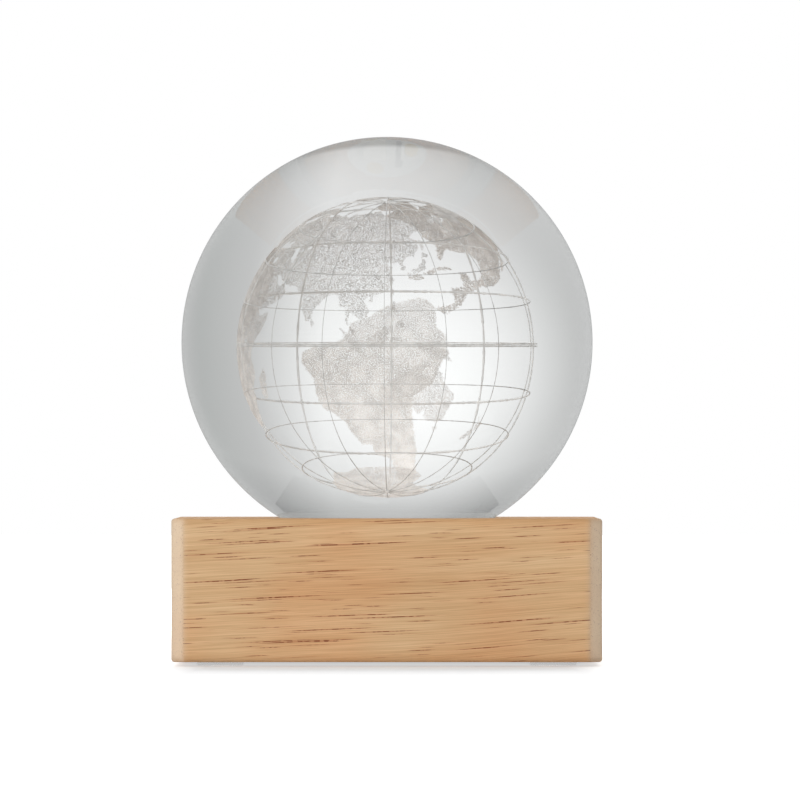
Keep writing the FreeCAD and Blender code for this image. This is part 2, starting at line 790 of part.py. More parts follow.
def arc_from(start, tangent, end):
    """The arc that leaves start along tangent and ends at end."""
    chord = end - start
    along = FreeCAD.Vector(chord).normalize()
    lean = tangent - along * tangent.dot(along)
    half = math.acos(min(1.0, tangent.dot(along)))
    rise = chord.Length / 2 * math.tan(half / 2)
    return Part.Arc(start, start + chord * 0.5 + lean.normalize() * rise, end)


def spring_point(wall, towards, y, share):
    """A point on the spring's centre line, and its direction, at a share of its length from the wall."""
    wire = number(d("spring_wire"))
    rise = number(d("spring_length")) - wire
    lift = number(d("contact_thickness")) + wire / 2
    base = (number(d("spring_base")) - wire) / 2
    tip = (number(d("spring_tip")) - wire) / 2
    full = 2 * math.pi * number(d("spring_turns"))
    angle = full * share
    radius = base + (tip - base) * share
    x = wall + towards * (lift + rise * share)
    ring = FreeCAD.Vector(0, math.cos(angle), math.sin(angle))
    turn = FreeCAD.Vector(0, -math.sin(angle), math.cos(angle))
    centre = FreeCAD.Vector(x, y, number(cell_axis))
    direction = FreeCAD.Vector(towards * rise, 0, 0) + ring * (tip - base) + turn * (radius * full)
    return centre + ring * radius, direction.normalize()


def spring_gap(points):
    """The least clear gap between one turn of a spring and the rest of it."""
    wire = number(d("spring_wire"))
    per_turn = len(points) / number(d("spring_turns"))
    near = [
        (p - q).Length
        for i, p in enumerate(points)
        for j, q in enumerate(points)
        if j - i > per_turn / 2
    ]
    return min(near) - wire


halves_per_turn = 2
points_per_turn = 40


def make_spring(i):
    towards = -1 if i % 2 == 0 else 1
    wall = number(bay_right if i % 2 == 0 else bay_left)
    y = number(cell_y(i))
    steps = halves_per_turn * whole("spring_turns")
    stations = [spring_point(wall, towards, y, k / steps) for k in range(steps + 1)]
    arcs = []
    for (p0, t0), (p1, t1) in zip(stations, stations[1:]):
        first, second = biarc(p0, t0, p1, t1)
        arcs.append(first.toShape())
        arcs.append(second.toShape())
    path = Part.Wire(Part.__sortEdges__(arcs))
    start, direction = stations[0]
    section = Part.Wire(Part.Circle(start, direction, number(d("spring_wire")) / 2).toShape())
    samples = points_per_turn * whole("spring_turns")
    line = [spring_point(wall, towards, y, k / samples)[0] for k in range(samples + 1)]
    print(f"contact spring {i + 1}: least gap between turns {spring_gap(line):.2f} mm")
    return path.makePipeShell([section], True, False)


def make_contact_springs():
    springs = [make_spring(i) for i in range(whole("cell_count"))]
    return shape_piece("contact_springs", Part.makeCompound(springs))


# Slide switch over the finger dish

slider_y = f"(-{d('slider_travel')} / 2)"


def make_switch_case():
    body = new_body("switch_case")
    case = rectangle(body, "case_plan", d("switch_width"), d("switch_length"), switch_x, z=switch_floor)
    pad(body, case, d("switch_height"))
    room_width = f"{d('slider_width')} + 2 * {d('slider_shoulder')} + 2 * {d('slider_play')}"
    room_length = f"{d('slider_length')} + {d('slider_travel')} + 2 * {d('slider_play')}"
    room = rectangle(body, "slider_room", room_width, room_length, switch_x, z=switch_floor)
    pocket_up(body, room, f"{d('slider_head')} + {d('slider_play')}")
    return body


def make_switch_slider():
    body = new_body("switch_slider")
    head_width = f"{d('slider_width')} + 2 * {d('slider_shoulder')}"
    head_bottom = f"{switch_floor} + {d('slider_play')}"
    head_size = (head_width, d("slider_length"))
    head = rectangle(body, "slider_head_plan", *head_size, switch_x, slider_y, head_bottom)
    pad(body, head, f"{d('slider_head')} - {d('slider_play')}")
    knob_bottom = f"{wood_bottom} + {d('switch_recess')} - {d('slider_proud')}"
    knob_size = (d("slider_width"), d("slider_length"))
    knob = rectangle(body, "slider_knob_plan", *knob_size, switch_x, slider_y, knob_bottom)
    pad(body, knob, f"{head_bottom} - ({knob_bottom})")
    return body


def make_switch_pins():
    pins = []
    pin_size = (d("pin_side"), d("pin_side"), d("pin_length"))
    case_top = f"{switch_floor} + {d('switch_height')}"
    for i in (-1, 0, 1):
        y = f"({i} * {d('pin_pitch')})"
        pins.append(block(f"switch_pin_{i + 1}", *pin_size, switch_x, y, case_top))
    return compound("switch_pins", pins)


# Countersunk screws that hold the box in the block


def make_box_screws():
    screws = []
    head_radius = f"{d('screw_head')} / 2"
    shank_radius = f"{d('screw_diameter')} / 2"
    sink = f"({head_radius} - {shank_radius})"
    shank_start = f"{wood_bottom} + {sink}"
    shank_length = f"{d('screw_length')} - {sink}"
    slot_along = (d("screw_head"), d("screw_slot_width"), d("screw_slot_depth"))
    slot_across = (d("screw_slot_width"), d("screw_head"), d("screw_slot_depth"))
    for i, (sx, sy) in enumerate(corner_signs):
        x = f"{sx} * {screw_x}"
        y = f"{sy} * {screw_y}"
        cone = {"Radius1": head_radius, "Radius2": shank_radius, "Height": sink}
        cone.update({"Placement.Base.x": x, "Placement.Base.y": y, "Placement.Base.z": wood_bottom})
        head = solid("Cone", f"screw_head_{i}", cone)
        shank = cylinder(f"screw_shank_{i}", d("screw_diameter"), shank_length, x, y, shank_start)
        first_slot = block(f"screw_slot_along_{i}", *slot_along, x, y, wood_bottom)
        second_slot = block(f"screw_slot_across_{i}", *slot_across, x, y, wood_bottom)
        cross = fuse(f"screw_cross_{i}", [first_slot, second_slot])
        screws.append(cut(f"box_screw_{i}", fuse(f"screw_blank_{i}", [head, shank]), cross))
    return compound("box_screws", screws)


pieces = [
    make_glass_ball(),
    make_seat_ring(),
    make_wooden_base(),
    make_rubber_feet(),
    make_board_tape(),
    make_led_board(),
    make_led_chips(),
    make_chip_resistors(),
    make_wire("positive_wire", 1),
    make_wire("negative_wire", -1),
    make_battery_box(),
    make_battery_door(),
    *[make_cell(i) for i in range(whole("cell_count"))],
    make_contact_plates(),
    make_contact_springs(),
    make_switch_case(),
    make_switch_slider(),
    make_switch_pins(),
    make_box_screws(),
]
doc.recompute()

for thing in doc.Objects:
    if "Invalid" in thing.State or "Error" in thing.State:
        raise RuntimeError(f"{thing.Label} did not build: {thing.State}")

os.makedirs("parts", exist_ok=True)
for piece in pieces:
    shape = piece.Shape
    if shape.isNull() or not shape.isValid():
        raise RuntimeError(f"{piece.Label} has no valid shape")
    shape.exportStep(f"parts/{piece.Label}.step")
    print(f"{piece.Label}: {len(shape.Solids)} solid(s), {shape.Volume:.1f} mm3")
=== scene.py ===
import math

import bpy
import numpy as np
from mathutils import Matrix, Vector


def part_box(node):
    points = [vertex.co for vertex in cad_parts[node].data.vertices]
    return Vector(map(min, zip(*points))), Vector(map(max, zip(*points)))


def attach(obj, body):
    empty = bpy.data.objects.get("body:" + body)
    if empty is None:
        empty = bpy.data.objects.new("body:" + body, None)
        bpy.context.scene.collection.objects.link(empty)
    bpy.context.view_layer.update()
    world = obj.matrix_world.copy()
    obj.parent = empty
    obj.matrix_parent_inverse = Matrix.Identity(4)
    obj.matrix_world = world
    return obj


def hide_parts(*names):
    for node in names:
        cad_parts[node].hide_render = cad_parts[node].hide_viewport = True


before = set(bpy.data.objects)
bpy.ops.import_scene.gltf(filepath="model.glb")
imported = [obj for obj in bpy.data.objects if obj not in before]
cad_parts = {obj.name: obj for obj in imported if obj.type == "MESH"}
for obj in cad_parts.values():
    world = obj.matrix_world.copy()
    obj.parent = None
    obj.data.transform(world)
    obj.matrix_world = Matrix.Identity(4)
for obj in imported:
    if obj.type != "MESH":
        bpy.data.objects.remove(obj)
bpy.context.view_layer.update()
mm = 0.001
print("frame loaded:", len(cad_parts), "nodes")


def linear(hexColour):  # sRGB hex to the linear colour that Blender's sockets want
    parts = [int(hexColour[i:i + 2], 16) / 255 for i in (1, 3, 5)]
    return tuple(p / 12.92 if p <= 0.04045 else ((p + 0.055) / 1.055) ** 2.4 for p in parts) + (1.0,)


def addNode(tree, kind, inputs=None, stops=None, **settings):
    node = tree.nodes.new(kind)
    for name, value in settings.items():
        setattr(node, name, value)
    for key, value in (inputs or {}).items():
        if isinstance(value, bpy.types.NodeSocket):
            tree.links.new(value, node.inputs[key])
        else:
            node.inputs[key].default_value = value
    if stops:  # a ramp's places and colours
        ramp = node.color_ramp
        while len(ramp.elements) < len(stops):
            ramp.elements.new(1.0)
        for element, (place, colour) in zip(ramp.elements, stops):
            element.position = place
            element.color = linear(colour)
    return node


def newMaterial(name):  # an empty material, and the tree to build it in
    material = bpy.data.materials.new(name)
    material.use_nodes = True
    material.node_tree.nodes.clear()
    return material, material.node_tree


def paint(material, *names):  # a CAD node keeps its shape and takes this material in every slot
    for name in names:
        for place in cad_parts[name].material_slots:
            place.material = material


def meshPiece(name, points, faces, material, body, stands=(), sharpAngle=None):
    mesh = bpy.data.meshes.new(name)
    mesh.from_pydata(points.reshape(-1, 3).tolist(), [], faces)
    mesh.update()
    mesh.shade_smooth()
    if sharpAngle is not None:
        mesh.set_sharp_from_angle(angle=math.radians(sharpAngle))
    mesh.materials.append(material)
    piece = bpy.data.objects.new(name, mesh)
    bpy.context.scene.collection.objects.link(piece)
    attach(piece, body)
    if stands:
        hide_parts(*stands)
    return piece


def gridFaces(rows, cols, wrapRows=False, wrapCols=True, start=0):
    # quads of a rows x cols grid of points, joined round where it wraps
    i = np.arange(rows if wrapRows else rows - 1)
    j = np.arange(cols if wrapCols else cols - 1)
    i, j = [a.ravel() for a in np.meshgrid(i, j, indexing="ij")]
    iNext, jNext = (i + 1) % rows, (j + 1) % cols
    quads = np.stack([i * cols + j, i * cols + jNext, iNext * cols + jNext, iNext * cols + j], axis=1)
    return (quads + start).tolist()


# camera: level, far back with a long lens, a little right of the middle and just above the block's top,
# with the lens shifted up to take in the whole ball
cameraSet = {"lens": 600.0, "sensor": 36.0, "x": 2.53 * mm, "z": 41.0 * mm, "distance": 2595 * mm,
             "shift": 0.0655, "sees": 100.0}
cameraData = bpy.data.cameras.new("camera")
cameraData.lens = cameraSet["lens"]
cameraData.sensor_width = cameraSet["sensor"]
cameraData.shift_y = cameraSet["shift"]
cameraData.clip_end = cameraSet["sees"]
camera = bpy.data.objects.new("camera", cameraData)
camera.location = (cameraSet["x"], -cameraSet["distance"], cameraSet["z"])
camera.rotation_euler = (math.pi / 2, 0, 0)
bpy.context.scene.collection.objects.link(camera)
bpy.context.scene.camera = camera

# places read from the frame
ballLow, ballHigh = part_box("glass_ball")
ballCentre = np.array((ballLow + ballHigh) / 2)
ballRadius = (ballHigh.z - ballLow.z) / 2
woodLow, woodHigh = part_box("wooden_base")

# clear glass, ground and polished: it bends what lies behind it, with the faintest grey-green in its depth
glassLook = {"tints": ((0.3, "#FAFCFB"), (0.7, "#FEFFFF")), "ior": 1.46, "streak": 25.0 * mm}
polishedGlass, tree = newMaterial("polishedGlass")
place = addNode(tree, "ShaderNodeTexCoord")
streaks = addNode(tree, "ShaderNodeTexNoise", {"Vector": place.outputs["Object"],
                  "Scale": 1 / glassLook["streak"], "Detail": 1.0})
tint = addNode(tree, "ShaderNodeValToRGB", {"Fac": streaks.outputs["Fac"]}, stops=glassLook["tints"])
shader = addNode(tree, "ShaderNodeBsdfPrincipled", {"Base Color": tint.outputs["Color"], "Roughness": 0.0,
                 "IOR": glassLook["ior"], "Transmission Weight": 1.0})
addNode(tree, "ShaderNodeOutputMaterial", {"Surface": shader.outputs["BSDF"]})

# the ball: a sphere by longitude and latitude, its poles closed to one point
ballSet = {"around": 360, "up": 180}
latitude = np.linspace(-math.pi / 2, math.pi / 2, ballSet["up"] + 1)[1:-1, None]
longitude = np.linspace(0, 2 * math.pi, ballSet["around"], endpoint=False)[None, :]
sphere = np.stack([np.cos(latitude) * np.cos(longitude), np.cos(latitude) * np.sin(longitude),
                   np.sin(latitude) + 0 * longitude], axis=-1).reshape(-1, 3)
ballPoints = np.concatenate([sphere, [[0, 0, -1], [0, 0, 1]]]) * ballRadius + ballCentre
rings = ballSet["up"] - 1
bottomPole = len(sphere)
thisOne = np.arange(ballSet["around"])
nextOne = np.roll(thisOne, -1)
lastRing = (rings - 1) * ballSet["around"]
ballFaces = gridFaces(rings, ballSet["around"])
ballFaces += np.stack([nextOne, thisOne, 0 * thisOne + bottomPole], axis=1).tolist()
ballFaces += np.stack([lastRing + thisOne, lastRing + nextOne, 0 * thisOne + bottomPole + 1], axis=1).tolist()
ball = meshPiece("glass_ball_clear", ballPoints, ballFaces, polishedGlass, "ball",
                 ["glass_ball"])
ball.visible_shadow = False  # lamp light reaches the engraving, and clear glass shades the floor very little
print("glass ball done")

# globe engraved inside the glass by rows of tiny cracks. It leans a little to the front, and its equator is a
# band of three fine lines, so many degrees apart
globeSet = {"radius": 20.0 * mm, "drop": 0.67 * mm, "facing": 120.0, "turn": 1.3, "lean": 0.88,
            "meridianStep": 30, "equatorAt": 0.9, "parallels": (-54.5, -35, -17.2, 17.2, 35, 53.5),
            "meridian": 0.085 * mm, "parallel": 0.09 * mm, "equator": 0.06 * mm, "equatorApart": 0.55,
            "highest": 89, "parallelSteps": 480, "meridianSteps": 240, "sides": 6, "spread": 0.8,
            "beads": 0.2, "beadRange": (0.6, 1.5), "seed": 7}
globeCentre = ballCentre - np.array([0, 0, globeSet["drop"]])

# cracks: two tones, a painted glow towards the back, and a painted glow that grows from high up to low down
crackLook = {"patch": 1.5 * mm, "depth": (-8 * mm, 8 * mm), "height": (4 * mm, -17 * mm), "rough": 0.9,
             "lines": {"tones": ((0.35, "#C9C8C6"), (0.65, "#DAD9D7")), "paintedBackGlow": 0.25,
                       "paintedLowGlow": (0.0, 0.16)},
             "dots": {"tones": ((0.35, "#CAC6C2"), (0.65, "#DFDBD7")), "paintedBackGlow": 0.15,
                      "paintedLowGlow": (0.06, 0.54)}}


def cracked(name, look):
    # cracks scatter the light: dull and a little uneven. Those at the back get a painted glow in place of
    # light passed on from behind, and the lower ones a painted glow in place of what the white board under
    # the ball throws up
    material, tree = newMaterial(name)
    front, back = crackLook["depth"]
    top, bottom = [globeCentre[2] + height for height in crackLook["height"]]
    place = addNode(tree, "ShaderNodeTexCoord")
    patches = addNode(tree, "ShaderNodeTexNoise", {"Vector": place.outputs["Object"],
                      "Scale": 1 / crackLook["patch"], "Detail": 2.0})
    tone = addNode(tree, "ShaderNodeValToRGB", {"Fac": patches.outputs["Fac"]}, stops=look["tones"])
    spot = addNode(tree, "ShaderNodeSeparateXYZ", {"Vector": place.outputs["Object"]})
    # painted glow: the cracks emit light in their own tone, more towards the back of the globe
    paintedBackGlow = addNode(tree, "ShaderNodeMapRange", {"Value": spot.outputs["Y"], "From Min": front,
                     "From Max": back, "To Max": look["paintedBackGlow"]})
    # painted glow: the cracks emit more light towards the bottom of the globe
    paintedLowGlow = addNode(tree, "ShaderNodeMapRange", {"Value": spot.outputs["Z"], "From Min": top,
                     "From Max": bottom, "To Min": look["paintedLowGlow"][0], "To Max": look["paintedLowGlow"][1]})
    glow = addNode(tree, "ShaderNodeMath", {0: paintedBackGlow.outputs["Result"], 1: paintedLowGlow.outputs["Result"]},
                   operation="ADD")
    shader = addNode(tree, "ShaderNodeBsdfPrincipled", {"Base Color": tone.outputs["Color"],
                     "Roughness": crackLook["rough"], "Specular IOR Level": 0.0,
                     "Emission Color": tone.outputs["Color"], "Emission Strength": glow.outputs[0]})
    addNode(tree, "ShaderNodeOutputMaterial", {"Surface": shader.outputs["BSDF"]})
    return material


crackedLines = cracked("crackedLines", crackLook["lines"])
crackedDots = cracked("crackedDots", crackLook["dots"])


def onGlobe(lon, lat):  # unit direction of a place, with the facing meridian towards the camera
    turn = np.radians(lon - globeSet["facing"] - globeSet["turn"])
    lat = np.radians(lat)
    lean = math.radians(globeSet["lean"])
    right, away, up = np.cos(lat) * np.sin(turn), -np.cos(lat) * np.cos(turn), np.sin(lat)
    return np.stack([right, away * math.cos(lean) - up * math.sin(lean),
                     away * math.sin(lean) + up * math.cos(lean)], axis=-1)


def engravedLine(lon, lat, thickness, closed, rng):
    # a thin tube on the globe: a circle swept along the line, square to it, with small beads. It widens
    # towards the back, where the engraving beam had spread
    outward = onGlobe(lon, lat)
    ahead = np.roll(outward, -1, 0) - np.roll(outward, 1, 0) if closed else np.gradient(outward, axis=0)
    ahead /= np.linalg.norm(ahead, axis=1, keepdims=True)
    across = np.cross(outward, ahead)
    bead = 1 + globeSet["beads"] * rng.standard_normal(len(outward))
    wide = 1 + globeSet["spread"] * (1 + outward[:, 1])
    radius = (thickness / 2 * wide * np.clip(bead, *globeSet["beadRange"]))[:, None, None]
    angle = np.linspace(0, 2 * math.pi, globeSet["sides"], endpoint=False)[None, :, None]
    ring = np.cos(angle) * outward[:, None, :] - np.sin(angle) * across[:, None, :]
    return outward[:, None, :] * globeSet["radius"] + ring * radius + globeCentre


def engraveLines():
    rng = np.random.default_rng(globeSet["seed"])
    circle = np.linspace(-180, 180, globeSet["parallelSteps"], endpoint=False)
    upDown = np.linspace(-globeSet["highest"], globeSet["highest"], globeSet["meridianSteps"])
    lines = []
    for k in (-1, 0, 1):
        equator = globeSet["equatorAt"] + globeSet["equatorApart"] * k
        lines.append((circle, 0 * circle + equator, globeSet["equator"], True))
    for parallel in globeSet["parallels"]:
        lines.append((circle, 0 * circle + parallel, globeSet["parallel"], True))
    for meridian in range(-180, 180, globeSet["meridianStep"]):
        lines.append((0 * upDown + meridian, upDown, globeSet["meridian"], False))
    points, faces, count = [], [], 0
    for lon, lat, thickness, closed in lines:
        tube = engravedLine(lon, lat, thickness, closed, rng)
        rows, cols = tube.shape[:2]
        faces += gridFaces(rows, cols, wrapRows=closed, start=count)
        if not closed:
            faces.append(list(range(count + cols - 1, count - 1, -1)))
            faces.append(list(range(count + (rows - 1) * cols, count + rows * cols)))
        points.append(tube.reshape(-1, 3))
        count += rows * cols
    meshPiece("engraved_lines", np.concatenate(points), faces, crackedLines, "ball")


engraveLines()
print("engraved lines done")

# coasts, as longitude and latitude in degrees: only the points that each shape needs
landOutlines = {
    "eurasia": [
        (-9, 37), (-9, 43), (-2, 43), (-1, 46), (-5, 48), (2, 51), (5, 53), (8, 54), (8, 57), (10, 57),
        (11, 54), (14, 54), (19, 54), (21, 57), (24, 59), (28, 60), (23, 60), (22, 63), (25, 65), (22, 66),
        (17, 62), (17, 59), (14, 56), (11, 59), (7, 58), (5, 60), (5, 62), (11, 65), (15, 69), (21, 70),
        (28, 71), (32, 70), (41, 67), (35, 66), (35, 64), (40, 65), (44, 66), (44, 68), (54, 68), (60, 69),
        (68, 68), (67, 71), (70, 73), (73, 71), (75, 72), (80, 73), (87, 75), (95, 76), (104, 78),
        (113, 74), (120, 73), (128, 73), (140, 72), (150, 71), (160, 70), (170, 70), (180, 69), (190, 66),
        (187, 64), (179, 62), (173, 61), (170, 60), (163, 59), (162, 56), (157, 51), (155, 55), (156, 58),
        (163, 62), (155, 59), (149, 59), (142, 59), (135, 55), (138, 54), (141, 53), (140, 48), (135, 43),
        (131, 43), (129, 41), (127, 39), (129, 37), (129, 35), (126, 34), (126, 37), (125, 39), (121, 39),
        (121, 41), (118, 39), (119, 37), (122, 37), (119, 35), (121, 32), (122, 30), (119, 25), (116, 23),
        (113, 22), (110, 20), (108, 21), (106, 19), (109, 15), (109, 12), (107, 10), (105, 9), (105, 10),
        (102, 12), (100, 13), (99, 10), (100, 7), (103, 4), (104, 1), (101, 3), (100, 6), (98, 8), (98, 12),
        (97, 16), (94, 16), (94, 19), (92, 22), (89, 22), (87, 21), (82, 16), (80, 13), (80, 10), (77, 8),
        (76, 11), (73, 16), (73, 20), (70, 21), (69, 22), (67, 25), (61, 25), (57, 26), (54, 27), (51, 29),
        (48, 30), (48, 29), (50, 26), (51, 25), (54, 24), (56, 26), (59, 23), (60, 22), (58, 19), (55, 17),
        (52, 16), (45, 13), (43, 13), (43, 16), (39, 21), (37, 26), (35, 29), (34, 31), (36, 35), (36, 37),
        (32, 36), (27, 37), (26, 39), (29, 41), (35, 42), (41, 42), (38, 44), (39, 47), (35, 46), (33, 44),
        (31, 46), (28, 43), (28, 41), (26, 41), (24, 40), (24, 38), (23, 37), (21, 38), (19, 41), (16, 43),
        (14, 45), (12, 44), (14, 42), (18, 40), (17, 39), (16, 38), (15, 40), (12, 42), (10, 44), (7, 44),
        (3, 43), (3, 42), (0, 39), (-1, 37), (-5, 36)],
    "africa": [
        (-6, 36), (-1, 35), (3, 37), (10, 37), (11, 34), (15, 32), (20, 31), (20, 33), (25, 32), (32, 31),
        (34, 28), (37, 20), (39, 15), (43, 12), (44, 10), (51, 12), (51, 9), (48, 4), (43, 0), (39, -5),
        (39, -8), (41, -13), (40, -16), (35, -20), (35, -24), (33, -26), (32, -28), (28, -33), (26, -34),
        (20, -35), (18, -34), (18, -32), (15, -27), (14, -22), (12, -18), (14, -12), (13, -9), (12, -6),
        (9, -1), (10, 3), (8, 5), (5, 5), (4, 6), (1, 6), (-2, 5), (-7, 4), (-11, 7), (-13, 9), (-17, 12),
        (-17, 15), (-16, 18), (-17, 21), (-14, 26), (-11, 28), (-10, 31), (-8, 33)],
    "madagascar": [(49, -12), (50, -15), (49, -19), (47, -25), (44, -25), (43, -22), (44, -16), (46, -15)],
    "australia": [
        (114, -22), (114, -26), (116, -32), (115, -34), (118, -35), (123, -34), (126, -32), (131, -31),
        (135, -35), (138, -33), (138, -36), (140, -38), (144, -38), (146, -39), (150, -37), (151, -33),
        (153, -28), (153, -25), (149, -22), (146, -19), (145, -15), (143, -14), (142, -11), (141, -17),
        (138, -16), (135, -15), (137, -12), (132, -11), (130, -13), (128, -15), (125, -14), (122, -18),
        (118, -20)],
    "tasmania": [(145, -41), (148, -41), (148, -43), (146, -43)],
    "newGuinea": [
        (131, -1), (134, -1), (135, -3), (138, -2), (144, -4), (148, -6), (147, -7), (150, -10), (147, -9),
        (143, -9), (141, -9), (138, -8), (138, -5), (133, -4)],
    "borneo": [
        (109, 1), (111, 2), (114, 4), (117, 7), (119, 5), (118, 2), (119, 1), (116, -1), (116, -4),
        (112, -3), (110, -3), (109, 0)],
    "sumatra": [(95, 6), (98, 4), (101, 2), (104, -1), (106, -3), (106, -6), (102, -4), (100, -1), (98, 2)],
    "java": [(105, -6.5), (108, -6.3), (111, -6.3), (114, -7.5), (114, -9), (108, -8)],
    "sulawesi": [
        (119, -3), (120, 1), (121, 1.3), (125, 1.6), (124, 0.3), (120.5, 0.2), (123, -1), (121.5, -2),
        (122.5, -5), (121, -3), (120.4, -5.6), (119.4, -5.4)],
    "luzon": [(120, 16), (121, 18.6), (122, 18.4), (122, 16), (124, 13), (121, 13.6), (120, 15)],
    "mindanao": [(122, 7), (123, 8.6), (125.5, 10), (126.5, 7), (125, 6), (124, 7)],
    "taiwan": [(120, 23), (121, 25), (122, 25), (121, 22)],
    "hainan": [(108.5, 19), (110.6, 20.2), (111, 19), (109, 18)],
    "sriLanka": [(79.6, 8), (80, 10), (82, 7.5), (80.5, 6)],
    "honshu": [
        (131, 34), (133, 35.6), (136, 36), (137, 37.4), (139.5, 39), (140, 41), (141.5, 41.4), (142, 39.5),
        (141, 38), (141, 35.6), (139, 34.8), (136, 33.5), (134.5, 34.6)],
    "kyushu": [(129.6, 33.3), (131, 34), (132, 33), (131.3, 31.2), (130, 31.2)],
    "shikoku": [(132.3, 33.5), (134.4, 34.3), (134.3, 33.3), (133, 32.7)],
    "hokkaido": [(140, 41.5), (141.5, 45.4), (143.5, 44.2), (145.4, 43.5), (143.3, 42), (141, 42.5)],
    "sakhalin": [(142, 46), (142, 50), (142.6, 54.3), (143.6, 52), (144.5, 49), (143, 47)],
    "northIsland": [
        (173, -34.5), (175.5, -36.8), (178.5, -37.8), (177, -39.5), (175, -41.6), (174, -39.3),
        (174.7, -37)],
    "southIsland": [
        (172.6, -40.5), (174.2, -41.8), (173, -44), (171, -46), (168.5, -46.7), (166.5, -46), (169, -44)],
    "britain": [
        (-5.5, 50), (1.4, 51.2), (1.7, 52.8), (0, 53.6), (-1.7, 55.6), (-2, 57.6), (-3, 58.7), (-5, 58.5),
        (-6, 56.7), (-3.2, 55), (-4.6, 53.3), (-5, 51.8), (-3, 51.4)],
    "ireland": [(-10, 52), (-6.3, 52.2), (-6, 54.6), (-8, 55.2), (-10, 54)],
    "iceland": [(-24, 65.6), (-18, 66.2), (-14, 65.2), (-18.5, 63.4), (-22.5, 64)],
    "spitsbergen": [(11, 79), (16, 76.7), (23, 78.5), (20, 80.2)],
    "novayaZemlya": [(52, 71), (57, 70.7), (58, 73.3), (68, 76.8), (60, 76)],
    "greenland": [
        (-45, 60), (-52, 65), (-54, 70), (-60, 76), (-71, 77.5), (-65, 80.5), (-45, 82.5), (-30, 83.5),
        (-18, 80), (-20, 74), (-24, 70), (-36, 66), (-42, 62)],
    "northAmerica": [
        (-168, 66), (-163, 67), (-166, 68.5), (-156, 71), (-141, 70), (-128, 70), (-115, 68), (-108, 68),
        (-96, 68), (-94, 72), (-90, 69), (-82, 69), (-81, 67), (-86, 66), (-93, 62), (-95, 59), (-88, 57),
        (-82, 55), (-80, 51), (-79, 54), (-77, 57), (-78, 62), (-70, 61), (-65, 60), (-61, 57), (-56, 53),
        (-59, 50), (-66, 50), (-64, 48), (-61, 46), (-66, 44), (-70, 43), (-70, 42), (-74, 40), (-76, 37),
        (-76, 35), (-81, 31), (-80, 26), (-81, 25), (-83, 28), (-84, 30), (-89, 29), (-94, 29), (-97, 26),
        (-97, 22), (-96, 19), (-91, 18), (-90, 21), (-87, 21), (-88, 16), (-83, 15), (-84, 11), (-80, 9),
        (-77, 9), (-80, 7), (-83, 8), (-86, 10), (-88, 13), (-94, 16), (-101, 17), (-106, 20), (-109, 25),
        (-113, 30), (-115, 31), (-109, 23), (-112, 25), (-115, 29), (-117, 33), (-121, 35), (-122, 37),
        (-124, 40), (-124, 46), (-125, 48), (-123, 49), (-128, 52), (-130, 55), (-134, 58), (-140, 60),
        (-146, 61), (-151, 59), (-158, 56), (-164, 54), (-158, 58), (-162, 59), (-165, 61), (-161, 64),
        (-166, 64)],
    "baffin": [(-80, 73), (-72, 71), (-62, 66), (-65, 62), (-72, 64), (-73, 68), (-87, 70), (-89, 73)],
    "victoria": [(-117, 70), (-105, 69), (-102, 72), (-115, 73)],
    "ellesmere": [(-90, 77), (-78, 76), (-65, 82), (-75, 83), (-92, 81)],
    "cuba": [(-85, 22), (-82, 23), (-77, 21.5), (-74, 20), (-77.6, 19.9), (-79, 21.6)],
    "hispaniola": [(-74.4, 18.5), (-73, 20), (-68.4, 18.6), (-71.5, 17.7)],
    "southAmerica": [
        (-77, 9), (-75, 11), (-72, 12), (-64, 10), (-61, 9), (-57, 6), (-51, 4), (-50, 1), (-48, -1),
        (-44, -3), (-39, -3), (-35, -5), (-35, -8), (-39, -13), (-39, -17), (-41, -22), (-44, -23),
        (-48, -26), (-50, -30), (-53, -34), (-57, -34), (-57, -36), (-58, -38), (-62, -39), (-65, -41),
        (-64, -42), (-67, -46), (-66, -48), (-69, -51), (-68, -53), (-65, -55), (-70, -55), (-74, -52),
        (-75, -47), (-73, -41), (-73, -37), (-71, -30), (-70, -23), (-70, -18), (-76, -14), (-79, -7),
        (-81, -5), (-80, -3), (-80, 0), (-77, 3), (-77, 7)],
    "antarctica": [
        (-180, -78), (-165, -78), (-150, -77), (-130, -74), (-102, -73), (-80, -73), (-67, -68), (-57, -63),
        (-61, -68), (-62, -74), (-45, -78), (-30, -77), (-15, -72), (0, -70), (20, -70), (40, -69),
        (55, -66), (70, -68), (85, -66), (110, -66), (135, -66), (150, -68), (165, -71), (168, -77),
        (180, -78), (180, -90), (-180, -90)],
}
seaOutlines = {
    "caspian": [
        (47.5, 43), (49, 46.5), (52.5, 46.5), (51, 44), (53.5, 41), (53.8, 37), (50, 37.5), (49.3, 41)],
    "aral": [(58.5, 44), (59, 46.5), (61.5, 46), (60.5, 44)],
    "baikal": [(104, 51.5), (109, 53), (110, 55.5), (107, 52.5)],
    "victoriaLake": [(32, -2), (32, 0), (34, 0), (33.5, -2.5)],
    "greatLakes": [(-92, 46.5), (-86, 48.5), (-80, 43.5), (-83, 42), (-86, 46), (-87.5, 42)],
}


def insideOutline(lon, lat, outline, batch=20000):
    # even-odd test of many places at once, also past the date line: edges crossed on the way east
    x, y = np.array(outline, float).T
    xNext, yNext = np.roll(x, -1), np.roll(y, -1)
    slope = (xNext - x) / np.where(yNext == y, 1e-9, yNext - y)
    inside = np.zeros(lon.shape, bool)
    for shift in (0, 360):
        east = lon + shift
        near = np.flatnonzero((lat > y.min()) & (lat < y.max()) & (east > x.min()) & (east < x.max()))
        for some in np.array_split(near, len(near) // batch + 1):
            height = lat[some][:, None]
            spans = (y > height) != (yNext > height)
            crossed = spans & (east[some][:, None] < x + slope * (height - y))
            inside[some] |= crossed.sum(axis=1) % 2 == 1
    return inside


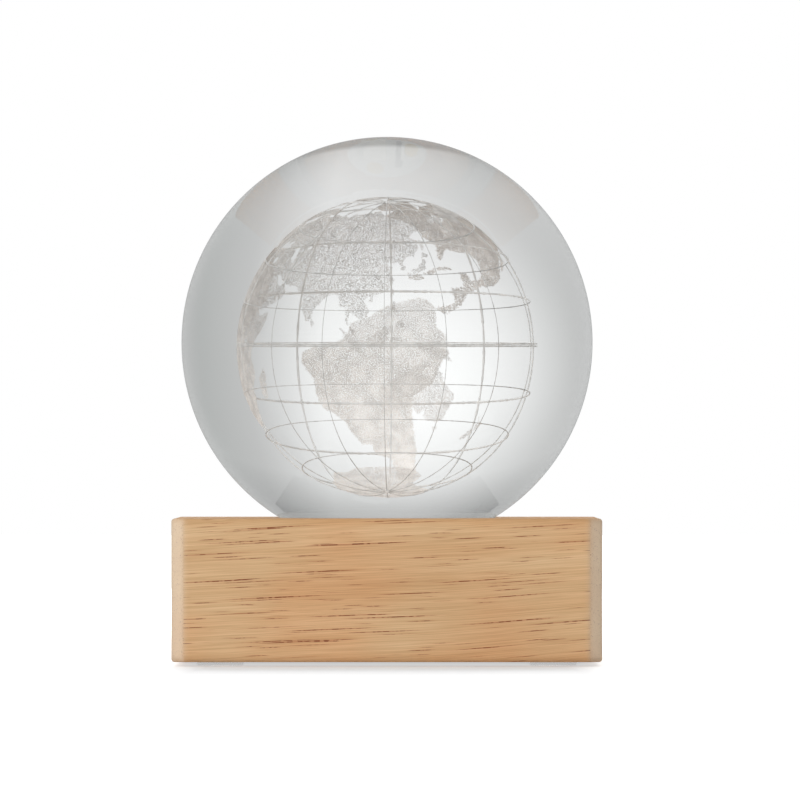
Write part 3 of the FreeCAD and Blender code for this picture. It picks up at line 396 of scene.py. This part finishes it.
# land is stippled: a tiny crack at each place of an even spiral over the globe that falls on land. The map
# lies a little east and north of its grid. Each group keeps a share of the places and has its own size of dot
stipple = {"places": 1200000, "jitter": 0.7, "highest": 89.9, "leastLevel": 0.1, "dotSpread": 0.25,
           "dotRange": (0.5, 1.6), "coast": 0.2, "east": 3.3, "north": 3.3,
           "kept": {"eurasia": (0.27, 0.042 * mm), "polar": (0.45, 0.0335 * mm),
                    "north_america": (0.53, 0.045 * mm), "south_america": (1.0, 0.0335 * mm),
                    "south": (0.48, 0.0335 * mm)},
           "taper": ((-9.0, 1.0), (4.0, 0.76)), "seed": 21}
landGroups = {"eurasia": ("eurasia",),
              "polar": ("antarctica", "greenland", "iceland", "spitsbergen", "novayaZemlya"),
              "north_america": ("northAmerica", "baffin", "victoria", "ellesmere", "cuba", "hispaniola"),
              "south_america": ("southAmerica",)}
landGroups["south"] = [name for name in landOutlines if name not in sum(landGroups.values(), ())]


def stippleLand():
    # golden-angle spiral: latitude by equal steps of height, longitude by equal turns, then a little jitter
    rng = np.random.default_rng(stipple["seed"])
    places = stipple["places"]
    k = np.arange(places) + 0.5
    jitter = stipple["jitter"] * math.degrees(math.sqrt(4 * math.pi / places))
    lat = np.degrees(np.arcsin(1 - 2 * k / places)) + rng.normal(0, jitter, places)
    lat = np.clip(lat, -stipple["highest"], stipple["highest"])
    level = np.maximum(np.cos(np.radians(lat)), stipple["leastLevel"])
    lon = (k * 180 * (3 - math.sqrt(5)) + 180) % 360 - 180 + rng.normal(0, jitter, places) / level
    size = np.clip(rng.normal(1, stipple["dotSpread"], places), *stipple["dotRange"])
    # a small random shift makes the coasts ragged
    mapLon = (lon - stipple["east"] + 180) % 360 - 180 + rng.normal(0, stipple["coast"], places)
    mapLat = lat - stipple["north"] * level + rng.normal(0, stipple["coast"], places)
    lot = rng.random(places)  # by this draw a group keeps its share of the places
    water = np.zeros(places, bool)
    for outline in seaOutlines.values():
        water |= insideOutline(mapLon, mapLat, outline)
    corner = np.array([[1, 1, 1], [1, -1, -1], [-1, 1, -1], [-1, -1, 1]], float)
    sides = np.array([[0, 1, 2], [0, 3, 1], [0, 2, 3], [1, 3, 2]])
    for group, names in landGroups.items():
        dry = np.zeros(places, bool)
        for name in names:
            dry |= insideOutline(mapLon, mapLat, landOutlines[name])
        share, dot = stipple["kept"][group]
        dry &= ~water & (lot < share)
        reach = dot * size[dry]
        if group == "south_america":  # finer towards the north
            reach = reach * np.interp(mapLat[dry], *zip(*stipple["taper"]))
        centre = onGlobe(lon[dry], lat[dry]) * globeSet["radius"] + globeCentre
        points = centre[:, None, :] + corner * reach[:, None, None]
        faces = (sides + len(corner) * np.arange(len(centre))[:, None, None]).reshape(-1, 3)
        meshPiece(f"engraved_land_{group}", points, faces.tolist(), crackedDots, "ball")
        print("engraved land,", group, len(centre), "dots")


stippleLand()

# rubberwood, sanded and oiled: straw coloured with rosy patches, fine fibres, and open vessels that show as
# short thin dark dashes. The grain runs along X, wanders a little and climbs to the right; its ends are
# paler. A layer's two sizes are its length along the grain and its width, in mm
woodLook = {"slope": 3.5, "wanderPatch": 60.0 * mm, "wander": 0.9 * mm, "wanderRange": (0.25, 0.75),
            "layers": {"band": (70.0, 6.0), "fibre": (24.0, 0.24), "hair": (9.0, 0.13),
                       "vessel": (30.0, 0.37), "pore": (9.0, 0.28)},
            "bands": ((0.29, "#D5AB7F"), (0.43, "#DAB389"), (0.57, "#DEBA91"), (0.71, "#E2C19A")),
            "rosyPatch": 26.0 * mm, "rosy": ((0.35, "#FFF3E8"), (0.6, "#FFFFFB")),
            "fibres": ((0.35, "#EFEAE2"), (0.6, "#FFFFFF")), "hairs": ((0.35, "#F3F0EB"), (0.6, "#FFFFFF")),
            "skew": (5.7, 11.3), "dust": 1.1 * mm, "dustRange": (0.40, 0.54), "dustLeast": 0.25,
            "missing": {"pore": 0.45, "vessel": 0.15}, "vesselReach": 0.36, "vesselEdge": 0.12,
            "vesselTone": "#7E3D1E", "haloEdge": 0.08, "haloShare": 0.45, "halo": "#BC7B50",
            "oil": "#CB935C", "oilReach": 2.0 * mm, "oilShare": 0.7,
            "rim": 2.0 * mm, "endTone": "#E6D3BC", "endRange": (0.15, 0.75), "endShare": 0.66,
            "poreDepth": 0.1 * mm, "poreStrength": 0.3, "rough": 0.5}
oiledRubberwood, tree = newMaterial("oiledRubberwood")
place = addNode(tree, "ShaderNodeTexCoord")
swell = addNode(tree, "ShaderNodeTexNoise", {"Vector": place.outputs["Object"],
                "Scale": 1 / woodLook["wanderPatch"], "Detail": 0.0})
shift = addNode(tree, "ShaderNodeMapRange", {"Value": swell.outputs["Fac"],
                "From Min": woodLook["wanderRange"][0], "From Max": woodLook["wanderRange"][1],
                "To Min": -woodLook["wander"], "To Max": woodLook["wander"]})
lift = addNode(tree, "ShaderNodeCombineXYZ", {"Z": shift.outputs["Result"]})
bent = addNode(tree, "ShaderNodeVectorMath", {0: place.outputs["Object"], 1: lift.outputs[0]},
               operation="ADD")
grain = addNode(tree, "ShaderNodeMapping", {"Vector": bent.outputs[0],
                "Rotation": (0, math.radians(woodLook["slope"]), 0)})
# rows of vessels are skewed along the grain, so that they don't line up
along = addNode(tree, "ShaderNodeVectorMath", {0: grain.outputs["Vector"], 1: (0, *woodLook["skew"])},
                operation="DOT_PRODUCT")
slide = addNode(tree, "ShaderNodeCombineXYZ", {"X": along.outputs["Value"]})
skewed = addNode(tree, "ShaderNodeVectorMath", {0: grain.outputs["Vector"], 1: slide.outputs[0]},
                 operation="ADD")
stretched = {}
for layer, (long, wide) in woodLook["layers"].items():
    path = skewed if layer in woodLook["missing"] else grain
    stretched[layer] = addNode(tree, "ShaderNodeMapping", {"Vector": path.outputs[0],
                               "Scale": [1 / (size * mm) for size in (long, wide, wide)]}).outputs["Vector"]
band = addNode(tree, "ShaderNodeTexNoise", {"Vector": stretched["band"], "Scale": 1.0, "Detail": 4.0})
tone = addNode(tree, "ShaderNodeValToRGB", {"Fac": band.outputs["Fac"]},
               stops=woodLook["bands"]).outputs["Color"]
fibre = addNode(tree, "ShaderNodeTexNoise", {"Vector": stretched["fibre"], "Scale": 1.0, "Detail": 3.0})
hair = addNode(tree, "ShaderNodeTexNoise", {"Vector": stretched["hair"], "Scale": 1.0, "Detail": 1.0})
rosy = addNode(tree, "ShaderNodeTexNoise", {"Vector": place.outputs["Object"],
               "Scale": 1 / woodLook["rosyPatch"], "Detail": 1.0})
for noise, tones in ((fibre, "fibres"), (hair, "hairs"), (rosy, "rosy")):
    lines = addNode(tree, "ShaderNodeValToRGB", {"Fac": noise.outputs["Fac"]}, stops=woodLook[tones])
    tone = addNode(tree, "ShaderNodeMix", {"Factor": 1.0, 6: tone, 7: lines.outputs["Color"]},
                   data_type="RGBA", blend_type="MULTIPLY").outputs[2]
# a vessel is a long thin cell; each has its own length, some are missing, and dust breaks them into dashes.
# Between them lie many short ones
dust = addNode(tree, "ShaderNodeTexNoise", {"Vector": place.outputs["Object"], "Scale": 1 / woodLook["dust"],
               "Detail": 1.0})
gaps = addNode(tree, "ShaderNodeMapRange", {"Value": dust.outputs["Fac"],
               "From Min": woodLook["dustRange"][0], "From Max": woodLook["dustRange"][1],
               "To Min": woodLook["dustLeast"]})
for layer, missing in woodLook["missing"].items():
    cells = addNode(tree, "ShaderNodeTexVoronoi", {"Vector": stretched[layer], "Scale": 1.0})
    chance = addNode(tree, "ShaderNodeSeparateColor", {"Color": cells.outputs["Color"]})
    reach = addNode(tree, "ShaderNodeMapRange", {"Value": chance.outputs[0], "From Min": missing,
                    "From Max": 1.0, "To Max": woodLook["vesselReach"]})
    depth = addNode(tree, "ShaderNodeMath", {0: reach.outputs["Result"], 1: cells.outputs["Distance"]},
                    operation="SUBTRACT")
    halo = addNode(tree, "ShaderNodeMapRange", {"Value": depth.outputs[0], "From Min": -woodLook["haloEdge"],
                   "From Max": woodLook["haloEdge"], "To Max": woodLook["haloShare"]})
    core = addNode(tree, "ShaderNodeMapRange", {"Value": depth.outputs[0], "From Min": 0.0,
                   "From Max": woodLook["vesselEdge"]})
    dashes = addNode(tree, "ShaderNodeMath", {0: core.outputs["Result"], 1: gaps.outputs["Result"]},
                     operation="MULTIPLY")
    for share, colour in ((halo.outputs["Result"], "halo"), (dashes.outputs[0], "vesselTone")):
        tone = addNode(tree, "ShaderNodeMix", {"Factor": share, 6: tone, 7: linear(woodLook[colour])},
                       data_type="RGBA").outputs[2]
# oil at the rims: the tone deepens close to the block's top and bottom edges
spot = addNode(tree, "ShaderNodeSeparateXYZ", {"Vector": place.outputs["Object"]})
height = addNode(tree, "ShaderNodeMath", {0: spot.outputs["Z"], 1: (woodLow.z + woodHigh.z) / 2},
                 operation="SUBTRACT")
away = addNode(tree, "ShaderNodeMath", {0: height.outputs[0]}, operation="ABSOLUTE")
edge = (woodHigh.z - woodLow.z) / 2
soaked = addNode(tree, "ShaderNodeMapRange", {"Value": away.outputs[0],
                 "From Min": edge - woodLook["oilReach"], "From Max": edge, "To Max": woodLook["oilShare"]})
patchy = addNode(tree, "ShaderNodeMath", {0: soaked.outputs["Result"], 1: fibre.outputs["Fac"]},
                 operation="MULTIPLY")
tone = addNode(tree, "ShaderNodeMix", {"Factor": patchy.outputs[0], 6: tone, 7: linear(woodLook["oil"])},
               data_type="RGBA").outputs[2]
# edges softened by sanding, and end grain where the surface faces along X
sanded = addNode(tree, "ShaderNodeBevel", {"Radius": woodLook["rim"]})
facing = addNode(tree, "ShaderNodeSeparateXYZ", {"Vector": sanded.outputs["Normal"]})
endwise = addNode(tree, "ShaderNodeMath", {0: facing.outputs["X"]}, operation="ABSOLUTE")
endShare = addNode(tree, "ShaderNodeMapRange", {"Value": endwise.outputs[0],
                   "From Min": woodLook["endRange"][0], "From Max": woodLook["endRange"][1],
                   "To Max": woodLook["endShare"]})
tone = addNode(tree, "ShaderNodeMix", {"Factor": endShare.outputs["Result"], 6: tone,
               7: linear(woodLook["endTone"])}, data_type="RGBA").outputs[2]
pores = addNode(tree, "ShaderNodeBump", {"Height": dashes.outputs[0], "Strength": woodLook["poreStrength"],
                "Distance": woodLook["poreDepth"], "Normal": sanded.outputs["Normal"]}, invert=True)
shader = addNode(tree, "ShaderNodeBsdfPrincipled", {"Base Color": tone, "Roughness": woodLook["rough"],
                 "Normal": pores.outputs["Normal"]})
addNode(tree, "ShaderNodeOutputMaterial", {"Surface": shader.outputs["BSDF"]})
paint(oiledRubberwood, "wooden_base")
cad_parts["wooden_base"].visible_glossy = False  # the ball's rim stays grey, with no wood mirrored in it
print("wooden block done")


# how mottled surfaces waver: where their two tones lie, and the range that their roughness follows
mottledSet = {"tones": (0.35, 0.65), "range": (0.3, 0.7), "detail": 3.0, "strength": 0.5}


def mottled(name, tones, patch, rough, bump=0.0, **sockets):
    # a surface that wavers between two tones and two roughnesses over patches of this many mm, with bumps
    # as high as the last number says, also in mm
    material, tree = newMaterial(name)
    place = addNode(tree, "ShaderNodeTexCoord")
    noise = addNode(tree, "ShaderNodeTexNoise", {"Vector": place.outputs["Object"], "Scale": 1 / (patch * mm),
                    "Detail": mottledSet["detail"]})
    tone = addNode(tree, "ShaderNodeValToRGB", {"Fac": noise.outputs["Fac"]},
                   stops=list(zip(mottledSet["tones"], tones)))
    dull = addNode(tree, "ShaderNodeMapRange", {"Value": noise.outputs["Fac"],
                   "From Min": mottledSet["range"][0], "From Max": mottledSet["range"][1],
                   "To Min": rough[0], "To Max": rough[1]})
    grain = addNode(tree, "ShaderNodeBump", {"Height": noise.outputs["Fac"],
                    "Strength": mottledSet["strength"], "Distance": bump * mm})
    shader = addNode(tree, "ShaderNodeBsdfPrincipled", {"Base Color": tone.outputs["Color"],
                     "Roughness": dull.outputs["Result"], "Normal": grain.outputs["Normal"]})
    for socket, value in sockets.items():
        shader.inputs[socket.replace("_", " ")].default_value = value
    addNode(tree, "ShaderNodeOutputMaterial", {"Surface": shader.outputs["BSDF"]})
    return material


# milky silicone, soft and grey: the seat ring. The feet are of the clear kind and nearly vanish on a white
# table
paint(mottled("milkySilicone", ("#BFC2C0", "#CDCFCD"), 2.0, (0.4, 0.55), 0.02, IOR=1.41), "seat_ring")
paint(mottled("clearSilicone", ("#E9EBEA", "#F4F5F4"), 2.0, (0.3, 0.45), 0.02, IOR=1.41, Alpha=0.12),
      "rubber_feet")
# foam tape, dry and matt
paint(mottled("foamTape", ("#E2E1DC", "#EFEEEA"), 0.4, (0.75, 0.9), 0.05), "board_tape")
# white solder mask, smooth and bright so that it throws the light up
paint(mottled("whiteSolderMask", ("#EDEDE8", "#F4F4F1"), 3.0, (0.22, 0.32), 0.01), "led_board")
# light chips: glossy white cases
paint(mottled("ledCase", ("#EEEBDF", "#F6F4EC"), 1.0, (0.25, 0.35), 0.01), "led_chips")
# fired ceramic resistors, black and satin
paint(mottled("blackCeramic", ("#141416", "#222226"), 0.5, (0.35, 0.5), 0.01), "chip_resistors")
# soft PVC round the wires, with a waxy shine
paint(mottled("redPvc", ("#A81E1A", "#B92A22"), 1.5, (0.32, 0.45), 0.02), "positive_wire")
paint(mottled("blackPvc", ("#17171A", "#232327"), 1.5, (0.32, 0.45), 0.02), "negative_wire")
# black ABS from a spark-eroded mould: fine even grain, dull
paint(mottled("sparkedAbs", ("#191A1C", "#26272A"), 0.22, (0.5, 0.65), 0.03), "battery_box", "battery_door")
# nickel-plated spring steel and screws: bright, with faint drawing marks
paint(mottled("nickelSteel", ("#BFBEB8", "#D2D1CC"), 0.6, (0.2, 0.34), 0.01, Metallic=1.0),
      "contact_plates", "contact_springs", "box_screws")
# slide switch: glossy black case, matt pale slider, tinned pins
paint(mottled("switchNylon", ("#121214", "#1E1E21"), 1.0, (0.28, 0.38), 0.01), "switch_case")
paint(mottled("sliderAcetal", ("#CFCEC8", "#DCDBD6"), 0.5, (0.45, 0.6), 0.02), "switch_slider")
paint(mottled("tinnedBrass", ("#C9BE9A", "#D8D0B4"), 0.8, (0.25, 0.4), 0.01, Metallic=1.0), "switch_pins")

# cells: steel ends, and a printed foil in two tones with a pale line between them, from the plus end on
cellLook = {"plusEnd": {"aaa_cell_1": "low", "aaa_cell_2": "high", "aaa_cell_3": "low"},
            "stops": ((0.0, "#C6C5C0"), (0.03, "#C6C5C0"), (0.035, "#A8743F"), (0.27, "#B5824C"),
                      (0.272, "#E4DCCB"), (0.285, "#E4DCCB"), (0.287, "#23423C"), (0.965, "#2A4C45"),
                      (0.97, "#C6C5C0")),
            "rough": 0.34, "metal": 0.45}
for cell, plusEnd in cellLook["plusEnd"].items():
    printedFoil, tree = newMaterial(f"printedFoil_{cell}")
    low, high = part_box(cell)
    ends = (low.x, high.x) if plusEnd == "low" else (high.x, low.x)
    place = addNode(tree, "ShaderNodeTexCoord")
    spot = addNode(tree, "ShaderNodeSeparateXYZ", {"Vector": place.outputs["Object"]})
    share = addNode(tree, "ShaderNodeMapRange", {"Value": spot.outputs["X"], "From Min": ends[0],
                    "From Max": ends[1]})
    ink = addNode(tree, "ShaderNodeValToRGB", {"Fac": share.outputs["Result"]}, stops=cellLook["stops"])
    shader = addNode(tree, "ShaderNodeBsdfPrincipled", {"Base Color": ink.outputs["Color"],
                     "Roughness": cellLook["rough"], "Metallic": cellLook["metal"]})
    addNode(tree, "ShaderNodeOutputMaterial", {"Surface": shader.outputs["BSDF"]})
    paint(printedFoil, cell)
print("inner pieces painted")


def lathe(profile, centres, sides):
    # radius and height of a profile, turned once round an upright axis at each centre, with flat ends
    angle = np.linspace(0, 2 * math.pi, sides, endpoint=False)
    radius, height = np.array(profile, float).T
    ring = np.stack([np.cos(angle), np.sin(angle)], axis=-1)
    upright = np.broadcast_to(height[:, None, None], (len(height), sides, 1))
    turned = np.concatenate([radius[:, None, None] * ring, upright], axis=-1)
    points = np.array(centres, float)[:, None, None, :] + turned
    faces = []
    for k in range(len(centres)):
        start = k * len(profile) * sides
        faces += gridFaces(len(profile), sides, start=start)
        faces.append(list(range(start + sides - 1, start - 1, -1)))
        faces.append(list(range(start + (len(profile) - 1) * sides, start + len(profile) * sides)))
    return points, faces


# yellow gel in the light chips' windows, dished a little by its own skin. Profiles are in mm
gelSet = {"circle": 5.5 * mm, "turns": (60, 180, 300), "sides": 40, "sharpAngle": 40,
          "profile": ((0.1, -0.28), (1.93, -0.28), (1.93, -0.04), (1.8, -0.07), (1.4, -0.11), (0.1, -0.13))}
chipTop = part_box("led_chips")[1].z
gelPlaces = []
for turn in gelSet["turns"]:
    angle = math.radians(turn)
    gelPlaces.append((gelSet["circle"] * math.cos(angle), gelSet["circle"] * math.sin(angle), chipTop))
phosphorGel = mottled("phosphorGel", ("#E0B63A", "#E9C654"), 0.6, (0.15, 0.25), 0.01)
gelPoints, gelFaces = lathe(np.array(gelSet["profile"]) * mm, gelPlaces, gelSet["sides"])
meshPiece("led_gel", gelPoints, gelFaces, phosphorGel, "base", sharpAngle=gelSet["sharpAngle"])

# solder where the wires meet the board: a small bright hill at each end
solderSet = {"sides": 32, "sharpAngle": 40, "inset": 0.4 * mm,
             "profile": ((1.15, -0.02), (1.15, 0.02), (0.95, 0.18), (0.7, 0.5), (0.4, 0.75), (0.05, 0.82))}
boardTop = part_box("led_board")[1].z
solderPlaces = []
for wire in ("positive_wire", "negative_wire"):
    low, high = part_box(wire)
    solderPlaces.append((low.x + solderSet["inset"], (low.y + high.y) / 2, boardTop))
brightSolder = mottled("brightSolder", ("#C4C5C6", "#D9DADB"), 0.5, (0.15, 0.3), 0.02, Metallic=1.0)
solderPoints, solderFaces = lathe(np.array(solderSet["profile"]) * mm, solderPlaces, solderSet["sides"])
meshPiece("solder_joints", solderPoints, solderFaces, brightSolder, "base",
          sharpAngle=solderSet["sharpAngle"])
print("light board detail done")

# stage: a white floor that keeps a soft shadow in front. For the camera it lifts to white further off, and
# painted light lifts it beside the object, over the side shadows, and a little in the shaded gap under it.
# The glass and views from below look through it
stageSet = {"reach": 4.0, "tone": "#E8E8E8", "lift": 0.95, "near": 0.08, "far": 0.42,
            "beside": (0.028, 0.058), "under": 0.60, "underEdge": 5 * mm, "least": 0.12}
whiteFloor, tree = newMaterial("whiteFloor")
rays = addNode(tree, "ShaderNodeLightPath")
side = addNode(tree, "ShaderNodeNewGeometry")
matt = addNode(tree, "ShaderNodeBsdfDiffuse", {"Color": linear(stageSet["tone"])})
place = addNode(tree, "ShaderNodeTexCoord")
away = addNode(tree, "ShaderNodeVectorMath", {0: place.outputs["Object"]}, operation="LENGTH")
rise = addNode(tree, "ShaderNodeMapRange", {"Value": away.outputs["Value"], "From Min": stageSet["near"],
               "From Max": stageSet["far"], "To Min": stageSet["least"], "To Max": stageSet["lift"]})
spot = addNode(tree, "ShaderNodeSeparateXYZ", {"Vector": place.outputs["Object"]})
across = addNode(tree, "ShaderNodeMath", {0: spot.outputs["X"]}, operation="ABSOLUTE")
# painted light: beside the block the floor is lifted to white for the camera, over the lamp's side shadow
beside = addNode(tree, "ShaderNodeMapRange", {"Value": across.outputs[0], "From Min": stageSet["beside"][0],
                 "From Max": stageSet["beside"][1], "To Max": stageSet["lift"]},
                 interpolation_type="SMOOTHSTEP")
within = addNode(tree, "ShaderNodeMath", {0: spot.outputs["Y"]}, operation="ABSOLUTE")
# painted light: the shaded gap under the block is lifted to soft grey for the camera
gap = addNode(tree, "ShaderNodeMapRange", {"Value": within.outputs[0],
              "From Min": woodHigh.y - stageSet["underEdge"], "From Max": woodHigh.y,
              "To Min": stageSet["under"], "To Max": 0.0})
white = addNode(tree, "ShaderNodeMath", {0: rise.outputs["Result"], 1: beside.outputs["Result"]},
                operation="MAXIMUM")
most = addNode(tree, "ShaderNodeMath", {0: white.outputs[0], 1: gap.outputs["Result"]}, operation="MAXIMUM")
lift = addNode(tree, "ShaderNodeMath", {0: rays.outputs["Is Camera Ray"], 1: most.outputs[0]},
               operation="MULTIPLY")
glow = addNode(tree, "ShaderNodeEmission", {"Strength": lift.outputs[0]})
lifted = addNode(tree, "ShaderNodeAddShader", {0: matt.outputs[0], 1: glow.outputs[0]})
clear = addNode(tree, "ShaderNodeBsdfTransparent")
unseen = addNode(tree, "ShaderNodeMath", {0: rays.outputs["Is Transmission Ray"],
                 1: side.outputs["Backfacing"]}, operation="MAXIMUM")
floorShader = addNode(tree, "ShaderNodeMixShader", {0: unseen.outputs[0], 1: lifted.outputs[0],
                      2: clear.outputs[0]})
addNode(tree, "ShaderNodeOutputMaterial", {"Surface": floorShader.outputs[0]})
reach = stageSet["reach"]
floorMesh = bpy.data.meshes.new("floor")
floorMesh.from_pydata([(-reach, -reach, 0), (reach, -reach, 0), (reach, reach, 0), (-reach, reach, 0)], [],
                      [(0, 1, 2, 3)])
floorMesh.materials.append(whiteFloor)
floor = bpy.data.objects.new("floor", floorMesh)
bpy.context.scene.collection.objects.link(floor)
floor.visible_glossy = False

# studio: white to the camera, even for matt surfaces, a little greyer in reflections. Through the glass it
# shows a soft bright patch a little right of the middle on a grey field, with one run of tones from side to
# side and one up and down
studioSet = {"white": "#FFFFFF", "even": "#BCBCBC", "mirrored": "#B4B5B5", "patch": (-0.19, 0.15),
             "patchSize": 0.71, "patchLight": 0.37,
             "sideways": ((0.0, "#BABABA"), (0.15, "#C6C6C6"), (0.3, "#CECECE"), (0.45, "#DDDDDD"),
                          (0.6, "#E6E6E6"), (0.75, "#C4C4C4"), (0.9, "#B0B2B1"), (1.0, "#AEAEAE")),
             "upright": ((0.0, "#B6B6B6"), (0.045, "#BEBEBE"), (0.065, "#FFFFFF"), (0.4, "#FFFFFF"),
                         (0.6, "#FEFEFE"), (0.75, "#F9F9F9"), (0.85, "#D3D3D3"), (0.95, "#707070"))}
studio = bpy.data.worlds.new("studio")
bpy.context.scene.world = studio
studio.use_nodes = True
tree = studio.node_tree
tree.nodes.clear()
rays = addNode(tree, "ShaderNodeLightPath")
direction = addNode(tree, "ShaderNodeTexCoord")
parts = addNode(tree, "ShaderNodeSeparateXYZ", {"Vector": direction.outputs["Generated"]})
field = []
for axis, run in (("X", "sideways"), ("Z", "upright")):
    share = addNode(tree, "ShaderNodeMath", {0: parts.outputs[axis], 1: 0.5, 2: 0.5},
                    operation="MULTIPLY_ADD")
    tones = addNode(tree, "ShaderNodeValToRGB", {"Fac": share.outputs[0]}, stops=studioSet[run])
    field.append(tones.outputs["Color"])
grey = addNode(tree, "ShaderNodeMix", {"Factor": 1.0, 6: field[0], 7: field[1]}, data_type="RGBA",
               blend_type="MULTIPLY").outputs[2]
aside = addNode(tree, "ShaderNodeMath", {0: parts.outputs["X"], 1: studioSet["patch"][0]},
                operation="SUBTRACT")
above = addNode(tree, "ShaderNodeMath", {0: parts.outputs["Z"], 1: studioSet["patch"][1]},
                operation="SUBTRACT")
offset = addNode(tree, "ShaderNodeCombineXYZ", {"X": aside.outputs[0], "Z": above.outputs[0]})
away = addNode(tree, "ShaderNodeVectorMath", {0: offset.outputs[0]}, operation="LENGTH")
patch = addNode(tree, "ShaderNodeMapRange", {"Value": away.outputs["Value"],
                "From Max": studioSet["patchSize"], "To Min": studioSet["patchLight"], "To Max": 0.0},
                interpolation_type="SMOOTHSTEP")
bright = addNode(tree, "ShaderNodeMix", {"Factor": 1.0, 6: grey, 7: patch.outputs["Result"]},
                 data_type="RGBA", blend_type="ADD").outputs[2]
shown = linear(studioSet["even"])
for ray, colour in (("Is Glossy Ray", linear(studioSet["mirrored"])), ("Is Transmission Ray", bright),
                    ("Is Camera Ray", linear(studioSet["white"]))):
    shown = addNode(tree, "ShaderNodeMix", {"Factor": rays.outputs[ray], 6: shown, 7: colour},
                    data_type="RGBA").outputs[2]
backdrop = addNode(tree, "ShaderNodeBackground", {"Color": shown, "Strength": 1.0})
addNode(tree, "ShaderNodeOutputWorld", {"Surface": backdrop.outputs[0]})

# soft lamps: one at the left of the camera for the wood, one low behind for the shadow in front of the block.
# Both aim close to the middle of the block's top
lampSet = {"left": {"at": (-0.57, -0.98, 0.6), "size": 0.7, "watts": 7.9},
           "back": {"at": (0.1, 1.2, 0.55), "size": 0.9, "watts": 13.0}}
lampAim = Vector((0, 0, 0.03))
for name, lamp in lampSet.items():
    lampData = bpy.data.lights.new(name, "AREA")
    lampData.size = lamp["size"]
    lampData.energy = lamp["watts"]
    lampObject = bpy.data.objects.new(name, lampData)
    lampObject.location = lamp["at"]
    beam = lampAim - Vector(lamp["at"])
    lampObject.rotation_euler = beam.to_track_quat("-Z", "Y").to_euler()
    lampObject.visible_glossy = False
    lampObject.visible_transmission = False
    bpy.context.scene.collection.objects.link(lampObject)
bpy.context.scene.view_settings.view_transform = "Standard"
print("stage done")
